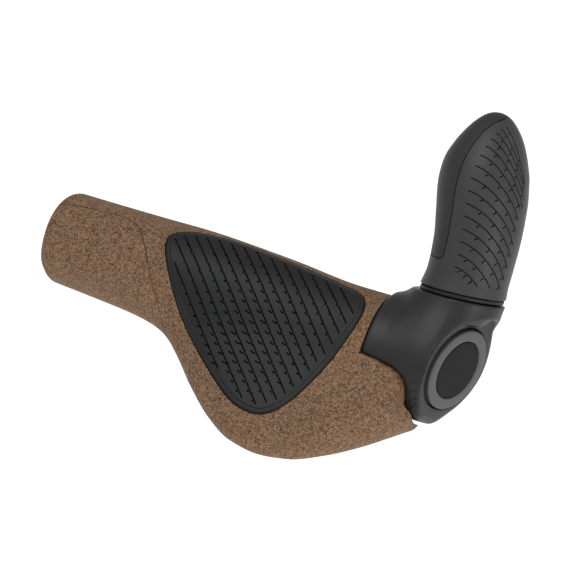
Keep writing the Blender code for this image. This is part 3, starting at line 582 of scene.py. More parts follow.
def skin(name, distance, low, high, cell):
    """Closed mesh of a distance's zero level, its points pulled onto the level.

    A point goes in each grid cell that the surface crosses, and a face round each grid edge.
    """
    axes = [np.arange(a, b + cell, cell) for a, b in zip(low, high)]
    shape = tuple(len(axis) for axis in axes)
    value = np.empty(shape)
    plane = np.stack(np.meshgrid(axes[1], axes[2], indexing="ij"), -1)
    for i, x in enumerate(axes[0]):
        points = np.concatenate((np.full(plane.shape[:2] + (1,), x), plane), -1)
        value[i] = distance(points)
    # a grid face whose corners alternate would give an edge four faces, so one corner is filled
    for axis in (0, 1, 2) * 3:
        u, v = (k for k in range(3) if k != axis)
        corner = []
        for du, dv in ((0, 0), (1, 0), (1, 1), (0, 1)):
            part = [slice(None)] * 3
            part[u], part[v] = slice(du, shape[u] - 1 + du), slice(dv, shape[v] - 1 + dv)
            corner.append(tuple(part))
        a, b, c, d = (value[part] < 0 for part in corner)
        mixed = (a == c) & (b == d) & (a != b)
        for part, filled in zip(corner[:2], (a, b)):
            value[part][mixed & ~filled] = -0.02 * cell
    inside = value < 0

    total = np.zeros(tuple(n - 1 for n in shape) + (3,))
    count = np.zeros(tuple(n - 1 for n in shape))
    faces = []
    crossings = []
    for axis in range(3):
        a = [slice(None)] * 3
        b = [slice(None)] * 3
        a[axis], b[axis] = slice(None, -1), slice(1, None)
        change = inside[tuple(a)] != inside[tuple(b)]
        at = np.argwhere(change)
        first = value[tuple(a)][change]
        second = value[tuple(b)][change]
        place = np.stack([axes[k][at[:, k]] for k in range(3)], -1)
        place[:, axis] += cell * first / (first - second)
        crossings.append((axis, at, place, inside[tuple(a)][change]))
        others = [k for k in range(3) if k != axis]
        for du in (0, 1):
            for dv in (0, 1):
                home = at.copy()
                home[:, others[0]] -= du
                home[:, others[1]] -= dv
                good = (home >= 0).all(1) & (home < np.array(count.shape)).all(1)
                np.add.at(total, tuple(home[good].T), place[good])
                np.add.at(count, tuple(home[good].T), 1)

    index = np.full(count.shape, -1)
    index[count > 0] = np.arange((count > 0).sum())
    points = total[count > 0] / count[count > 0][:, None]
    for axis, at, _, from_inside in crossings:
        others = [k for k in range(3) if k != axis]
        corners = []
        for du, dv in ((0, 0), (1, 0), (1, 1), (0, 1)):
            home = at.copy()
            home[:, others[0]] -= du
            home[:, others[1]] -= dv
            corners.append(index[tuple(home.T)])
        quad = np.stack(corners, -1)
        flip = from_inside == (axis == 1)
        quad[flip] = quad[flip][:, ::-1]
        faces += quad.tolist()

    step = 0.1 * cell
    for _ in range(3):
        here = distance(points)
        slope = np.stack([distance(points + step * axis) - here for axis in np.eye(3)], -1) / step
        size = np.maximum((slope ** 2).sum(-1), 0.05)
        move = -(here / size)[:, None] * slope
        far = np.maximum(np.linalg.norm(move, axis=-1, keepdims=True) / (0.4 * cell), 1.0)
        points = points + move / far
    return face_out(add_mesh(name, points, faces))


# ------------------------------------------------------------------ materials

class Value:
    """A socket that can be used in sums, which add Math nodes to its material."""

    def __init__(self, finish, socket):
        self.finish, self.socket = finish, socket

    def _with(self, operation, a, b):
        return self.finish.node("ShaderNodeMath", {"operation": operation}, {0: a, 1: b})

    def __add__(self, other):
        return self._with("ADD", self, other)

    def __radd__(self, other):
        return self._with("ADD", other, self)

    def __sub__(self, other):
        return self._with("SUBTRACT", self, other)

    def __rsub__(self, other):
        return self._with("SUBTRACT", other, self)

    def __mul__(self, other):
        return self._with("MULTIPLY", self, other)

    def __rmul__(self, other):
        return self._with("MULTIPLY", other, self)

    def __gt__(self, other):
        return self._with("GREATER_THAN", self, other)

    def __lt__(self, other):
        return self._with("LESS_THAN", self, other)


class Finish:
    """A material under construction."""

    def __init__(self, name):
        self.material = bpy.data.materials.new(name)
        self.material.use_nodes = True
        self.tree = self.material.node_tree
        self.shader = self.tree.nodes["Principled BSDF"]
        self.place = self.node("ShaderNodeTexCoord", output="Object")

    def node(self, kind, settings=None, values=None, output=0):
        """Add a node, with its settings first and then its sockets' values or links."""
        node = self.tree.nodes.new(kind)
        for key, value in (settings or {}).items():
            setattr(node, key, value)
        for key, value in (values or {}).items():
            self.feed(node.inputs[key], value)
        return Value(self, node.outputs[output])

    def feed(self, socket, value):
        if isinstance(value, Value):
            self.tree.links.new(value.socket, socket)
        else:
            socket.default_value = value

    def noise(self, size, detail=2.0, roughness=0.5):
        """Noise from 0 to 1 whose features are about a size across."""
        return self.node("ShaderNodeTexNoise", None,
                         {"Vector": self.place, "Scale": 1.0 / size, "Detail": detail,
                          "Roughness": roughness})

    def grains(self, size, output="Color"):
        """Cells about a size across: a random colour for each, or the distance to its middle."""
        return self.node("ShaderNodeTexVoronoi", None,
                         {"Vector": self.place, "Scale": 1.0 / size}, output)

    def one(self, colour):
        """One random number out of a random colour."""
        return self.node("ShaderNodeSeparateColor", None, {0: colour})

    def ramp(self, factor, low, high):
        """0 to 1 while a value goes from low to high."""
        return self.node("ShaderNodeMapRange", {"interpolation_type": "SMOOTHSTEP"},
                         {"Value": factor, "From Min": low, "From Max": high})

    def mix(self, factor, a, b):
        """Colour a turning to colour b."""
        a, b = ((*c, 1.0) if isinstance(c, tuple) else c for c in (a, b))
        return self.node("ShaderNodeMix", {"data_type": "RGBA"}, {0: factor, 6: a, 7: b}, 2)

    def bump(self, height, distance, strength):
        return self.node("ShaderNodeBump", None,
                         {"Height": height, "Distance": distance, "Strength": strength})

    def done(self, **values):
        for key, value in values.items():
            self.feed(self.shader.inputs[key.replace("_", " ")], value)
        return self.material


def cork_finish():
    """Ground cork and fibre in a brown binder."""
    f = Finish("cork_compound")
    warp = f.noise(2.2 * MM, 2.0)
    grain = f.one(f.grains(0.44 * MM))
    fine = f.one(f.grains(0.27 * MM))
    chip = f.one(f.grains(0.8 * MM))
    chip_place = f.grains(0.8 * MM, "Distance")
    cloud = f.noise(9.0 * MM, 3.0, 0.6)
    tone = 0.42 * grain + 0.44 * fine + 0.14 * warp
    colour = f.mix(f.ramp(tone, 0.1, 0.9), (0.038, 0.019, 0.0085), (0.33, 0.187, 0.099))
    dark = (grain < 0.12) * (fine < 0.5)
    pale = (chip > 0.88) * f.ramp(chip_place, 0.46, 0.30)
    colour = f.mix(0.4 * dark, colour, (0.035, 0.018, 0.009))
    colour = f.mix(0.3 * pale, colour, (0.42, 0.28, 0.17))
    colour = f.mix(f.ramp(cloud, 0.35, 0.75) * 0.15, colour, (0.10, 0.052, 0.025))
    relief = 0.6 * grain + 0.4 * fine - 0.7 * dark
    return f.done(Base_Color=colour, Roughness=0.78 + 0.16 * grain,
                  Normal=f.bump(relief, 0.045 * MM, 0.55))


def moulded_finish(name, colour, roughness, shine=0.3, tint=(1.0, 1.0, 1.0)):
    """Dark moulded plastic or rubber with a fine spark-eroded texture and slow tone changes."""
    f = Finish(name)
    fine = f.noise(0.16 * MM, 2.0, 0.6)
    cloud = f.noise(11.0 * MM, 3.0)
    scuff = f.noise(1.9 * MM, 4.0, 0.7)
    low = tuple(0.928 * colour * t for t in tint)
    high = tuple(1.096 * colour * t for t in tint)
    shade = f.mix(0.5 * fine + 0.5 * cloud, low, high)
    worn = f.ramp(scuff, 0.62, 0.86)
    shade = f.mix(0.10 * worn, shade, tuple(1.5 * colour * t for t in tint))
    f.shader.inputs["Specular IOR Level"].default_value = shine
    gloss = roughness - 0.05 + 0.1 * cloud + 0.05 * fine + 0.04 * worn
    return f.done(Base_Color=shade, Roughness=gloss, Normal=f.bump(fine, 0.012 * MM, 0.7))


def steel_finish():
    """Black-oxide steel, lathe-fine and rubbed brighter in places."""
    f = Finish("black_oxide_steel")
    fine = f.noise(0.12 * MM, 2.0)
    patch = f.noise(1.6 * MM, 4.0, 0.65)
    rubbed = f.ramp(patch, 0.52, 0.72)
    colour = f.mix(rubbed, (0.045, 0.047, 0.052), (0.2, 0.2, 0.21))
    return f.done(Base_Color=colour, Metallic=0.9, Roughness=0.34 + 0.16 * fine,
                  Normal=f.bump(fine, 0.006 * MM, 0.5))


def floor_finish():
    f = Finish("pale_floor")
    cloud = f.noise(0.5, 2.0)
    f.shader.inputs["Emission Color"].default_value = (1.0, 1.0, 1.0, 1.0)
    f.shader.inputs["Emission Strength"].default_value = FLOOR_GLOW
    return f.done(Base_Color=f.mix(cloud, (0.86, 0.86, 0.86), (0.9, 0.9, 0.9)), Roughness=0.9)


# ------------------------------------------------------------------ cork body

def grip_rings(stations, offset=0.0, count=200, rays=360):
    """Rings of the grip's outside, rounded in at the mouth, their points evenly spaced."""
    angles = np.linspace(0.0, 2 * math.pi, rays + 1)[:-1]
    at = np.maximum(stations, MOUTH_ROUND)[:, None]
    across, up = np.cos(angles), np.sin(angles)
    low = np.zeros((len(stations), rays))
    radius = solve(lambda r: grip_distance(at, r * across, r * up) - offset, low, low + 70 * MM)
    rings = []
    for x, r in zip(stations, radius):
        loop = np.stack((r * across, r * up), -1)
        closed = np.vstack((loop, loop[:1]))
        run = np.append(0.0, np.cumsum(np.linalg.norm(np.diff(closed, axis=0), axis=1)))
        even = np.linspace(0.0, run[-1], count + 1)[:-1]
        loop = np.stack([np.interp(even, run, closed[:, k]) for k in (0, 1)], -1)
        if x < MOUTH_ROUND:
            inset = MOUTH_ROUND - math.sqrt(MOUTH_ROUND ** 2 - (MOUTH_ROUND - x) ** 2)
            size = np.linalg.norm(loop, axis=1)
            loop = loop * ((size - inset) / size)[:, None]
        rings.append(x * ALONG + loop[:, :1] * WING_AXIS + loop[:, 1:] * WING_UP)
    return rings


def window_fall(x):
    """How far the window's upper edge has fallen at a place along the bar, as an angle."""
    return WINDOW_SLOPE * np.clip(x - LOBE_X, 0.0, 14.0 * MM)


def sector(name, angles, start, ends, inner, outer):
    """A ring's sector round the bar, in angles from +Z towards -Y, with an end for each angle."""
    rings = []
    for angle, end in zip(angles, ends):
        corners = []
        for x, radius in ((start, inner), (end, inner), (end, outer), (start, outer)):
            turn = angle + window_fall(x)
            corners.append((x, -radius * math.sin(turn), radius * math.cos(turn)))
        rings.append(np.array(corners))
    return loft(name, rings)


def window_edge():
    """The window's edge less a clearance: angles from its top, and the end for each."""
    top = WINDOW_TOP + GAP / LOBE_R
    corner = WINDOW_CORNER * (1 - np.cos(np.linspace(0.0, math.pi / 2, CORNER_STEPS)))
    rest = np.linspace(top + WINDOW_CORNER / LOBE_R, WING_BOTTOM - math.radians(5.0), 28)[1:]
    rise = np.sqrt(np.maximum(WINDOW_CORNER ** 2 - (WINDOW_CORNER - corner) ** 2, 0.0))
    ends = WINDOW_END - GAP - WINDOW_CORNER + np.concatenate((rise, rest * 0 + WINDOW_CORNER))
    return np.concatenate((top + corner / LOBE_R, rest)), ends


def swept_radius():
    """How far from the bar axis the clamp reaches as it turns past the end of the wing."""
    turn = -math.radians(joint("bar_end_tilt")["range_deg"][0])
    angles = np.linspace(WINDOW_TOP, WING_BOTTOM + turn, 40)
    out = np.stack((0 * angles, -np.sin(angles), np.cos(angles)), -1)
    low = np.full(len(angles), 10 * MM)
    reach = [solve(lambda r: clamp_outside(x * ALONG + r[:, None] * out), low, low + 20 * MM).max()
             for x in np.linspace(WINDOW_END, BODY_LENGTH, 12)]
    return max(reach)


def clamp_room():
    """The space that the clamp takes out of the cork: all beyond the lobe but the neck."""
    far = BODY_LENGTH + 10 * MM
    inner, outer = 0.8 * BORE_R, 2.0 * LOBE_R
    room = turned("clamp_room", [(outer, far), (outer, LOBE_X - GAP), (NECK_R, LOBE_X - GAP),
                                 (NECK_R, NECK_END - GAP), (inner, NECK_END - GAP), (inner, far)],
                  aim((0, 0, 0), ALONG))
    angles, ends = window_edge()
    combine(room, sector("window_keep", angles, LOBE_X - 1.0 * MM, ends, inner, WING_CLEAR))
    past = (WING_END - ends[-1]) * ease(angles, *WING_END_TURN)
    beside = slice(CORNER_STEPS + 1, -1)
    return combine(room, sector("wing_end_keep", angles[beside], NECK_END + 0.5 * MM,
                                (ends + past)[beside], swept_radius() + GAP, 1.1 * WING_CLEAR))


def web_block(name, margin):
    """The core's web in the wing's plane, grown by a margin."""
    start, end = WEB[0] - margin, WEB[1] + margin
    inner, outer = (BORE_R + CORE_R) / 2, WING_REACH - WEB_RIM + margin
    centre = ALONG * (start + end) / 2 + WING_AXIS * (inner + outer) / 2
    size = (end - start, outer - inner, WEB_THICKNESS + 2 * margin)
    return block(name, size, centre, ALONG, WING_AXIS)


def parting_line(finish):
    """The mould's parting line as a thin bar laid in the cork's surface."""
    at = np.linspace(0.0, 1.0, 90)
    table = [(k / (len(PARTING) - 1), x, t) for k, (x, t) in enumerate(PARTING)]
    x = MM * smooth_curve(at, table, 1)
    angle = np.radians(smooth_curve(at, table, 2))
    out = np.stack((0 * angle, -np.sin(angle), np.cos(angle)), -1)
    along, up = out @ WING_AXIS, out @ WING_UP
    place = np.maximum(x, MOUTH_ROUND)
    radius = solve(lambda r: grip_distance(place, r * along, r * up) - SKIN, 0 * x, 0 * x + 70 * MM)
    inset = MOUTH_ROUND - np.sqrt(MOUTH_ROUND ** 2 - np.maximum(MOUTH_ROUND - x, 0.0) ** 2)
    points = x[:, None] * ALONG + (radius - inset)[:, None] * out
    return swept_bars("parting_line", [(points, out)], PARTING_WIDTH, PARTING_DEPTH, finish, 8)


def make_cork_body(finish):
    mouth = MOUTH_ROUND * (1 - np.cos(np.linspace(0.0, math.pi / 2, 12)))[1:]
    stations = np.concatenate(((0.02 * MM,), mouth, np.linspace(MOUTH_ROUND, BODY_LENGTH, 170)[1:]))
    cork = loft("cork_body_surface", grip_rings(stations, SKIN))
    bore_length = BODY_LENGTH + 20 * MM
    combine(cork, cylinder("cork_bore", CORE_R + GAP, (-5 * MM, 0, 0), ALONG, bore_length, 128))
    combine(cork, web_block("web_pocket", GAP))
    combine(cork, clamp_room())
    recess = pad_solid("pad_recess", GAP, -PAD_DEPTH - GAP, 6 * MM)
    combine(cork, recess)
    combine(cork, parting_line(finish))
    return cork


# ------------------------------------------------------------------ palm pad

def pad_outline(per_span=10):
    """The pad's outline in the wing's plane, as (along the bar, along the wing)."""
    length = PAD_END - PAD_START
    knots = np.array([(PAD_START + u * length, v * (PAD_FRONT if v < 0 else PAD_REACH))
                      for u, v in PAD_OUTLINE])
    loop = []
    for k in range(len(knots)):
        p0, p1, p2, p3 = (knots[(k + j - 1) % len(knots)] for j in range(4))
        for t in np.arange(per_span) / per_span:
            loop.append(0.5 * (2 * p1 + (p2 - p0) * t + (2 * p0 - 5 * p1 + 4 * p2 - p3) * t ** 2
                               + (3 * p1 - p0 - 3 * p2 + p3) * t ** 3))
    return np.array(loop)


def grown(loop, margin):
    """An outline moved out by a margin."""
    tangent = np.roll(loop, -1, axis=0) - np.roll(loop, 1, axis=0)
    tangent /= np.linalg.norm(tangent, axis=1)[:, None]
    outward = np.stack((tangent[:, 1], -tangent[:, 0]), -1)
    if (outward * (loop - loop.mean(axis=0))).sum() < 0:
        outward = -outward
    return loop + margin * outward


def pad_rings(margin, insets):
    """Rings of the pad's plan: outlines moved in near the edge, then shrunk to the middle."""
    loop = pad_outline()
    middle = loop.mean(axis=0)
    rings = [grown(loop, margin - inset) for inset in insets]
    last = rings[-1]
    depths = list(insets)
    for share in np.linspace(1.0, 0.0, 26)[1:-1]:
        rings.append(middle + share * (last - middle))
        depths.append(insets[-1] + 10 * MM)
    return rings, depths, middle


def pad_solid(name, margin, bottom, top):
    """The pad's plan between two offsets from the grip's surface."""
    rings, _, middle = pad_rings(margin, (0.0, 1.0 * MM))
    low = [grip_point(r[:, 0], r[:, 1], bottom) for r in rings]
    high = [grip_point(r[:, 0], r[:, 1], top) for r in rings]
    return shell_of(name, high, low, grip_point(*middle, top), grip_point(*middle, bottom))


def shell_of(name, high, low, high_tip, low_tip):
    """A closed sheet: the top's rings from the middle out, then the underside's back in."""
    rings = list(reversed(high)) + low
    count = len(high[0])
    points = np.vstack((np.concatenate(rings), high_tip, low_tip))
    faces = []
    for i in range(len(rings) - 1):
        a, b = i * count, (i + 1) * count
        faces += [(a + j, a + (j + 1) % count, b + (j + 1) % count, b + j) for j in range(count)]
    last = (len(rings) - 1) * count
    tips = len(points) - 2, len(points) - 1
    faces += [((j + 1) % count, j, tips[0]) for j in range(count)]
    faces += [(last + j, last + (j + 1) % count, tips[1]) for j in range(count)]
    return face_out(add_mesh(name, points, faces))


def inside_by(points, loop):
    """How far inside an outline points are, negative outside."""
    a, b = loop, np.roll(loop, -1, axis=0)
    run = b - a
    t = np.clip(((points[:, None] - a) * run).sum(-1) / (run ** 2).sum(-1), 0.0, 1.0)
    far = np.linalg.norm(points[:, None] - a - t[..., None] * run, axis=-1).min(1)
    above = (a[:, 1] > points[:, 1:]) != (b[:, 1] > points[:, 1:])
    rise = np.where(run[:, 1] == 0, 1e-12, run[:, 1])
    crossing = a[:, 0] + (points[:, 1:] - a[:, 1]) * run[:, 0] / rise
    within = ((above & (points[:, :1] < crossing)).sum(1) % 2).astype(bool)
    return np.where(within, far, -far)


def pad_sipes(finish):
    """The pad's grooves and the short hooked ticks along their inward side."""
    loop = pad_outline()
    run = np.array((math.cos(SIPE_TURN), math.sin(SIPE_TURN)))
    aside = np.array((-run[1], run[0]))
    lines = []
    for k in range(SIPE_COUNT):
        base = aside * (SIPE_FIRST - k * SIPE_PITCH)
        far = np.arange(20 * MM, 130 * MM, 0.5 * MM)
        points = base + far[:, None] * run
        far = far[inside_by(points, loop) > SIPE_INSET]
        if len(far) < 4:
            continue
        points = base + far[:, None] * run
        lines.append((grip_point(*points.T, PAD_PROUD), grip_normal(*points.T)))
        first = TICK_PITCH * (math.ceil(far[0] / TICK_PITCH) + 0.5 * (k % 2))
        for at in np.arange(first, far[-1] - 0.8 * MM, TICK_PITCH):
            foot = base + at * run
            away = ((foot - TICK_CENTRE) ** 2).sum() / (2 * TICK_SPREAD ** 2)
            length = TICK_SHORT + TICK_LONG * math.exp(-away)
            hook = np.array(((0.0, 0.0), (-0.35, 0.06), (-0.7, 0.02), (-1.0, -0.16)))
            tick = foot + hook * length
            lines.append((grip_point(*tick.T, PAD_PROUD), grip_normal(*tick.T)))
    return swept_bars("pad_sipes", lines, SIPE_WIDTH, SIPE_DEPTH, finish, 8)


def make_palm_pad(finish):
    insets = np.array((0.0, 0.04, 0.12, 0.24, 0.40, 0.56, 0.70, 0.95, 1.15, 1.28, 1.40, 1.52, 1.65,
                       2.0, 2.6, 3.4)) * MM
    rings, depths, middle = pad_rings(0.0, insets)
    high, low = [], []
    for ring, depth in zip(rings, depths):
        edge = PAD_RIM_ROUND - min(depth, PAD_RIM_ROUND)
        drop = PAD_RIM_ROUND - math.sqrt(max(PAD_RIM_ROUND ** 2 - edge ** 2, 0.0))
        drop += PAD_STEP * (1.0 - float(ease(depth, *PAD_STEP_AT)))
        high.append(grip_point(ring[:, 0], ring[:, 1], PAD_PROUD - drop))
        low.append(grip_point(ring[:, 0], ring[:, 1], -PAD_DEPTH))
    pad = shell_of("palm_pad_surface", high, low, grip_point(*middle, PAD_PROUD),
                   grip_point(*middle, -PAD_DEPTH))
    return combine(pad, pad_sipes(finish))


# ------------------------------------------------------------------ clamp

def clamp_outside(p):
    """Distance to the clamp's outside: lobe, drum, stub and bolt boss, blended."""
    x = p[..., 0]
    radius = np.hypot(p[..., 1], p[..., 2])
    along = np.maximum(LOBE_X - 5 * MM - x, x - BODY_LENGTH)
    across = radius - LOBE_R - np.clip((x - LOBE_X) * 0.03, 0.0, DRUM_STEP)
    lobe = rounded(along, across, 1.0 * MM)

    q = p - CAP_CENTRE
    out = q @ CAP_AXIS
    spread = np.linalg.norm(q - out[..., None] * CAP_AXIS, axis=-1)
    depth = np.clip((out + DRUM_LENGTH) / (DRUM_LENGTH + 0.3 * MM), 0.0, 1.0)
    mouth = CAP_R + DRUM_MOUTH
    drum_radius = mouth + (DRUM_R - mouth) * np.sqrt(1.0 - depth ** 2)
    drum = rounded(np.maximum(out - DRUM_LIP, -out - 1.6 * DRUM_LENGTH), spread - drum_radius,
                   0.6 * MM)

    height = p @ HORN_AXIS
    back = p @ HORN_BACK
    _, half_x, half_y = horn_size(0.0)
    flare = np.clip((SEAM - height) / SEAM, 0.0, 1.0)
    half_x = half_x + 0.3 * MM - 0.4 * MM * flare
    centre = HORN_X - STUB_SHIFT * flare
    stub = (np.hypot((x - centre) / half_x, back / half_y) - 1.0) * half_y
    top = height - (SEAM - TRIM_HEIGHT / 2 - GAP) - SEAM_SLOPE * (x - HORN_X)
    stub = rounded(np.maximum(top, -height), stub, 0.7 * MM)

    q = p - BOLT_POINT
    boss = np.hypot(q[..., 0], q @ BOLT_OUT) - BOSS_R
    boss = rounded(np.abs(q @ BOLT_AXIS) - BOSS_HALF_LENGTH, boss, 1.5 * MM)
    whole = union(union(lobe, drum, 5.0 * MM), stub, 9.0 * MM)
    whole = union(whole, boss, 3.0 * MM)
    beyond = np.maximum(spread - mouth, 0.0) / MM
    dish = (DRUM_LIP + DISH * beyond ** 3 - out) / np.sqrt(1.0 + (3 * DISH / MM * beyond ** 2) ** 2)
    whole = minus(whole, dish, 1.2 * MM)
    return minus(whole, -top, 0.6 * MM)


def spike_distance(p):
    """Distance to the horn's core, from inside the stub to its rounded tip."""
    height = p @ HORN_AXIS - SEAM
    centre, half_x, half_y = horn_size(np.clip(height, 0.0, HORN_LENGTH), -RUBBER_WALL)
    half_x, half_y = np.maximum(half_x, MM), np.maximum(half_y, MM)
    side = (np.hypot((p[..., 0] - centre) / half_x, (p @ HORN_BACK) / half_y) - 1.0) * half_y
    return rounded(np.maximum(height - SPIKE_LENGTH, -height - 8 * MM), side, 3.0 * MM)


def clamp_distance(p):
    """Distance to the clamp body, with its bore, window, cap seat, slit and bolt pockets."""
    x = p[..., 0]
    radius = np.hypot(p[..., 1], p[..., 2])
    angle = np.mod(np.arctan2(-p[..., 1], p[..., 2]), 2 * math.pi)
    body = minus(clamp_outside(p), x - LOBE_X, LIP * 1.6)

    u = LOBE_R * (angle - WINDOW_TOP - window_fall(x))
    v = WINDOW_END - x
    window = rounded(-u, -v, WINDOW_CORNER)
    window = np.maximum(window, LOBE_R * (angle - WINDOW_BOTTOM))
    body = minus(body, window, LIP * 1.5)
    body = union(body, spike_distance(p), 1.0 * MM)

    neck = np.maximum(radius - NECK_R - GAP, x - NECK_END)
    collar = np.maximum(radius - CORE_R - GAP, x - CORE_END - GAP)
    body = minus(minus(body, neck, 0.3 * MM), collar, 0.3 * MM)

    q = p - CAP_CENTRE
    out = q @ CAP_AXIS
    spread = np.linalg.norm(q - out[..., None] * CAP_AXIS, axis=-1)
    seat = np.maximum(spread - CAP_R - GAP, -out - CAP_RIM - GAP)
    plug = np.maximum(spread - CAP_PLUG_R - GAP, -out - CAP_RIM - CAP_PLUG_LENGTH - 6 * MM)
    body = minus(minus(body, seat, 0.9 * MM), np.maximum(plug, out - 6 * MM), 0.3 * MM)

    q = p - BOLT_POINT
    down = q @ BOLT_AXIS
    round_bolt = np.hypot(q[..., 0], q @ BOLT_OUT)
    hole = np.maximum(round_bolt - BOLT_HOLE_R, np.abs(down) - 20 * MM)
    head = np.maximum(round_bolt - WASHER_R - GAP, down + EAR)
    turn = np.arctan2(q @ BOLT_OUT, q[..., 0])
    flat = np.mod(turn + math.pi / 6, math.pi / 3) - math.pi / 6
    nut = np.maximum(round_bolt * np.cos(flat) - NUT_FLATS / 2 - GAP, EAR - down)
    reach = p @ BOLT_OUT
    slit = np.maximum(np.abs(p @ BOLT_AXIS) - SLIT_WIDTH / 2, x - SLIT_END)
    slit = np.maximum(slit, BORE_R - reach)
    for pocket in (hole, head, nut, slit):
        body = minus(body, pocket, 0.35 * MM)
    return body


def make_clamp_body():
    low = np.array(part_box("clamp_body")[0]) - 1.0 * MM
    high = np.array(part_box("clamp_body")[1]) + 1.0 * MM
    return skin("clamp_body_surface", clamp_distance, low, high, CLAMP_CELL)


# ------------------------------------------------------------------ horn

def horn_solid(name, offset, bottom, round_edge=0.0, rows=120, count=144):
    """The horn's shape moved in by an offset, from a height up to its tip."""
    angles = np.linspace(0.0, 2 * math.pi, count + 1)[:-1]
    scale = (HORN_LENGTH + offset) / HORN_LENGTH
    share = np.sin(np.linspace(0.0, math.pi / 2, rows + 1))[:-1]
    rings = []
    if round_edge:
        for a in np.radians((0.0, 22.5, 45.0, 67.5)):
            ring = horn_point(bottom, angles, offset - round_edge * (1 - math.sin(a)))
            rings.append(ring + HORN_AXIS * round_edge * (1 - math.cos(a)))
    first = (bottom + round_edge) / scale
    for height in first + (HORN_LENGTH - first) * share:
        ring = horn_point(height, angles, offset)
        rings.append(ring + HORN_AXIS * height * (scale - 1.0))
    tip = horn_point(HORN_LENGTH, 0.0) + HORN_AXIS * offset
    return loft(name, rings, tip=tip)


def panel_prism(name, margin):
    """The thumb panel's side view, extruded through the horn from front to back."""
    knots = np.array(PANEL_EDGE, float)[:, 0]
    height = MM * np.interp(np.linspace(0.0, len(knots) - 1.0, 90), np.arange(len(knots)), knots)
    turn = np.radians(smooth_curve(height / MM, PANEL_EDGE))
    centre, half_x, _ = horn_size(height)
    edge = np.stack((centre + half_x * np.cos(turn), height), -1)
    far_x, top = HORN_X - 30 * MM, HORN_LENGTH + 8 * MM
    quarter = np.linspace(0.0, math.pi / 2, 8)
    round_x = edge[0, 0] - PANEL_CORNER * (1 - np.sin(quarter))
    round_h = PANEL_BOTTOM + PANEL_CORNER * (1 - np.cos(quarter))
    outline = np.vstack(((far_x, PANEL_BOTTOM), np.stack((round_x, round_h), -1), edge,
                         (edge[-1][0] + 4 * MM, HORN_LENGTH - 0.1 * MM),
                         (edge[-1][0] + 12 * MM, HORN_LENGTH + 0.5 * MM),
                         (edge[-1][0] + 12 * MM, top), (far_x, top)))
    if margin:
        outline[1:-3] = grown(outline, margin)[1:-3]
        outline[0, 1] -= margin
    rings = [outline[:, :1] * ALONG + (outline[:, 1:] + SEAM) * HORN_AXIS + side * HORN_BACK
             for side in (-25 * MM, 25 * MM)]
    return loft(name, rings)


def groove_starts():
    """Where each groove starts: an even pitch up the horn that closes up towards the tip."""
    closing = np.maximum(0, np.arange(GROOVE_COUNT - 1) - GROOVE_EVEN + 1)
    heights = GROOVE_FIRST + np.append(0.0, np.cumsum(GROOVE_PITCH - GROOVE_CLOSING * closing))
    return heights, np.radians(smooth_curve(heights / MM, GROOVE_STARTS))


def horn_grooves(finish):
    """Grooves that fall in arcs from beside the thumb panel, with ticks, and their mirrors."""
    lines = []
    heights, turns = groove_starts()
    for k, (height, turn, pitch) in enumerate(zip(heights, turns, np.gradient(heights))):
        low = k < GROOVE_LOW_COUNT
        end = GROOVE_END if low else GROOVE_END_HIGH
        drop = GROOVE_DROP * (1.0 if low else 1.2) + 4 * MM * max(0.0, 1 - k / 2)
        t = np.linspace(0.0, 1.0, 34)
        angle = turn + (end - turn) * t
        place = height - drop * t ** GROOVE_BEND
        keep = place > GROOVE_LOWEST
        angle, place = angle[keep], place[keep]
        for side in (1, -1):
            lines.append((horn_point(place, side * angle), horn_normal(place, side * angle)))
            for share in TICK_SHARES:
                j = int(share * len(place))
                if place[j] < GROOVE_LOWEST + 1.5 * MM:
                    continue
                length = (0.9 + 0.75 * share * (1.2 - height / HORN_LENGTH)) * MM
                length = min(length, 0.42 * pitch)
                down = np.array((0.0, 0.5, 1.0))
                ticks = place[j] - length * down
                bend = angle[j] + TICK_BEND * down ** 2
                lines.append((horn_point(ticks, side * bend), horn_normal(ticks, side * bend)))
    return swept_bars("horn_groove_bars", lines, GROOVE_WIDTH, GROOVE_DEPTH, finish, 8)


def make_horn_sleeve(finish):
    start = TRIM_HEIGHT / 2 + GAP
    sleeve = horn_solid("horn_sleeve_surface", 0.0, start, 0.6 * MM)
    recess = panel_prism("panel_recess", PANEL_GAP)
    combine(recess, horn_solid("recess_floor", -PANEL_WALL - GAP, -6 * MM))
    combine(sleeve, spike_socket())
    combine(sleeve, recess)
    return combine(sleeve, horn_grooves(finish))


def spike_socket():
    """The room for the horn's core in the rubber."""
    angles = np.linspace(0.0, 2 * math.pi, 97)[:-1]
    tip = 4.0 * MM
    heights = np.linspace(-4 * MM, SPIKE_LENGTH - tip, 30)
    tips = SPIKE_LENGTH + GAP - tip * (1 - np.sin(np.linspace(0.0, math.pi / 2, 8)))[1:]
    rings = [horn_point(h, angles, GAP - RUBBER_WALL) for h in (*heights, *tips)]
    return loft("spike_socket", rings)


def make_thumb_panel():
    panel = horn_solid("thumb_panel_surface", 0.0, TRIM_HEIGHT)
    combine(panel, panel_prism("panel_side", 0.0), "INTERSECT")
    return combine(panel, horn_solid("panel_underside", -PANEL_WALL, -6 * MM))


def make_trim_ring():
    angles = np.linspace(0.0, 2 * math.pi, 145)[:-1]
    half = TRIM_HEIGHT / 2
    outer, inner = -TRIM_INSET, GAP - RUBBER_WALL
    round_edge = 0.3 * MM
    section = (arc((outer - round_edge, half - round_edge), round_edge, 90, 0)
               + arc((outer - round_edge, round_edge - half), round_edge, 0, -90)
               + [(inner, -half), (inner, half)])
    rings = [horn_point(0.0, angles, offset) + HORN_AXIS * height for offset, height in section]
    return loft("trim_ring_surface", rings, closed=True)


# ------------------------------------------------------------------ end cap

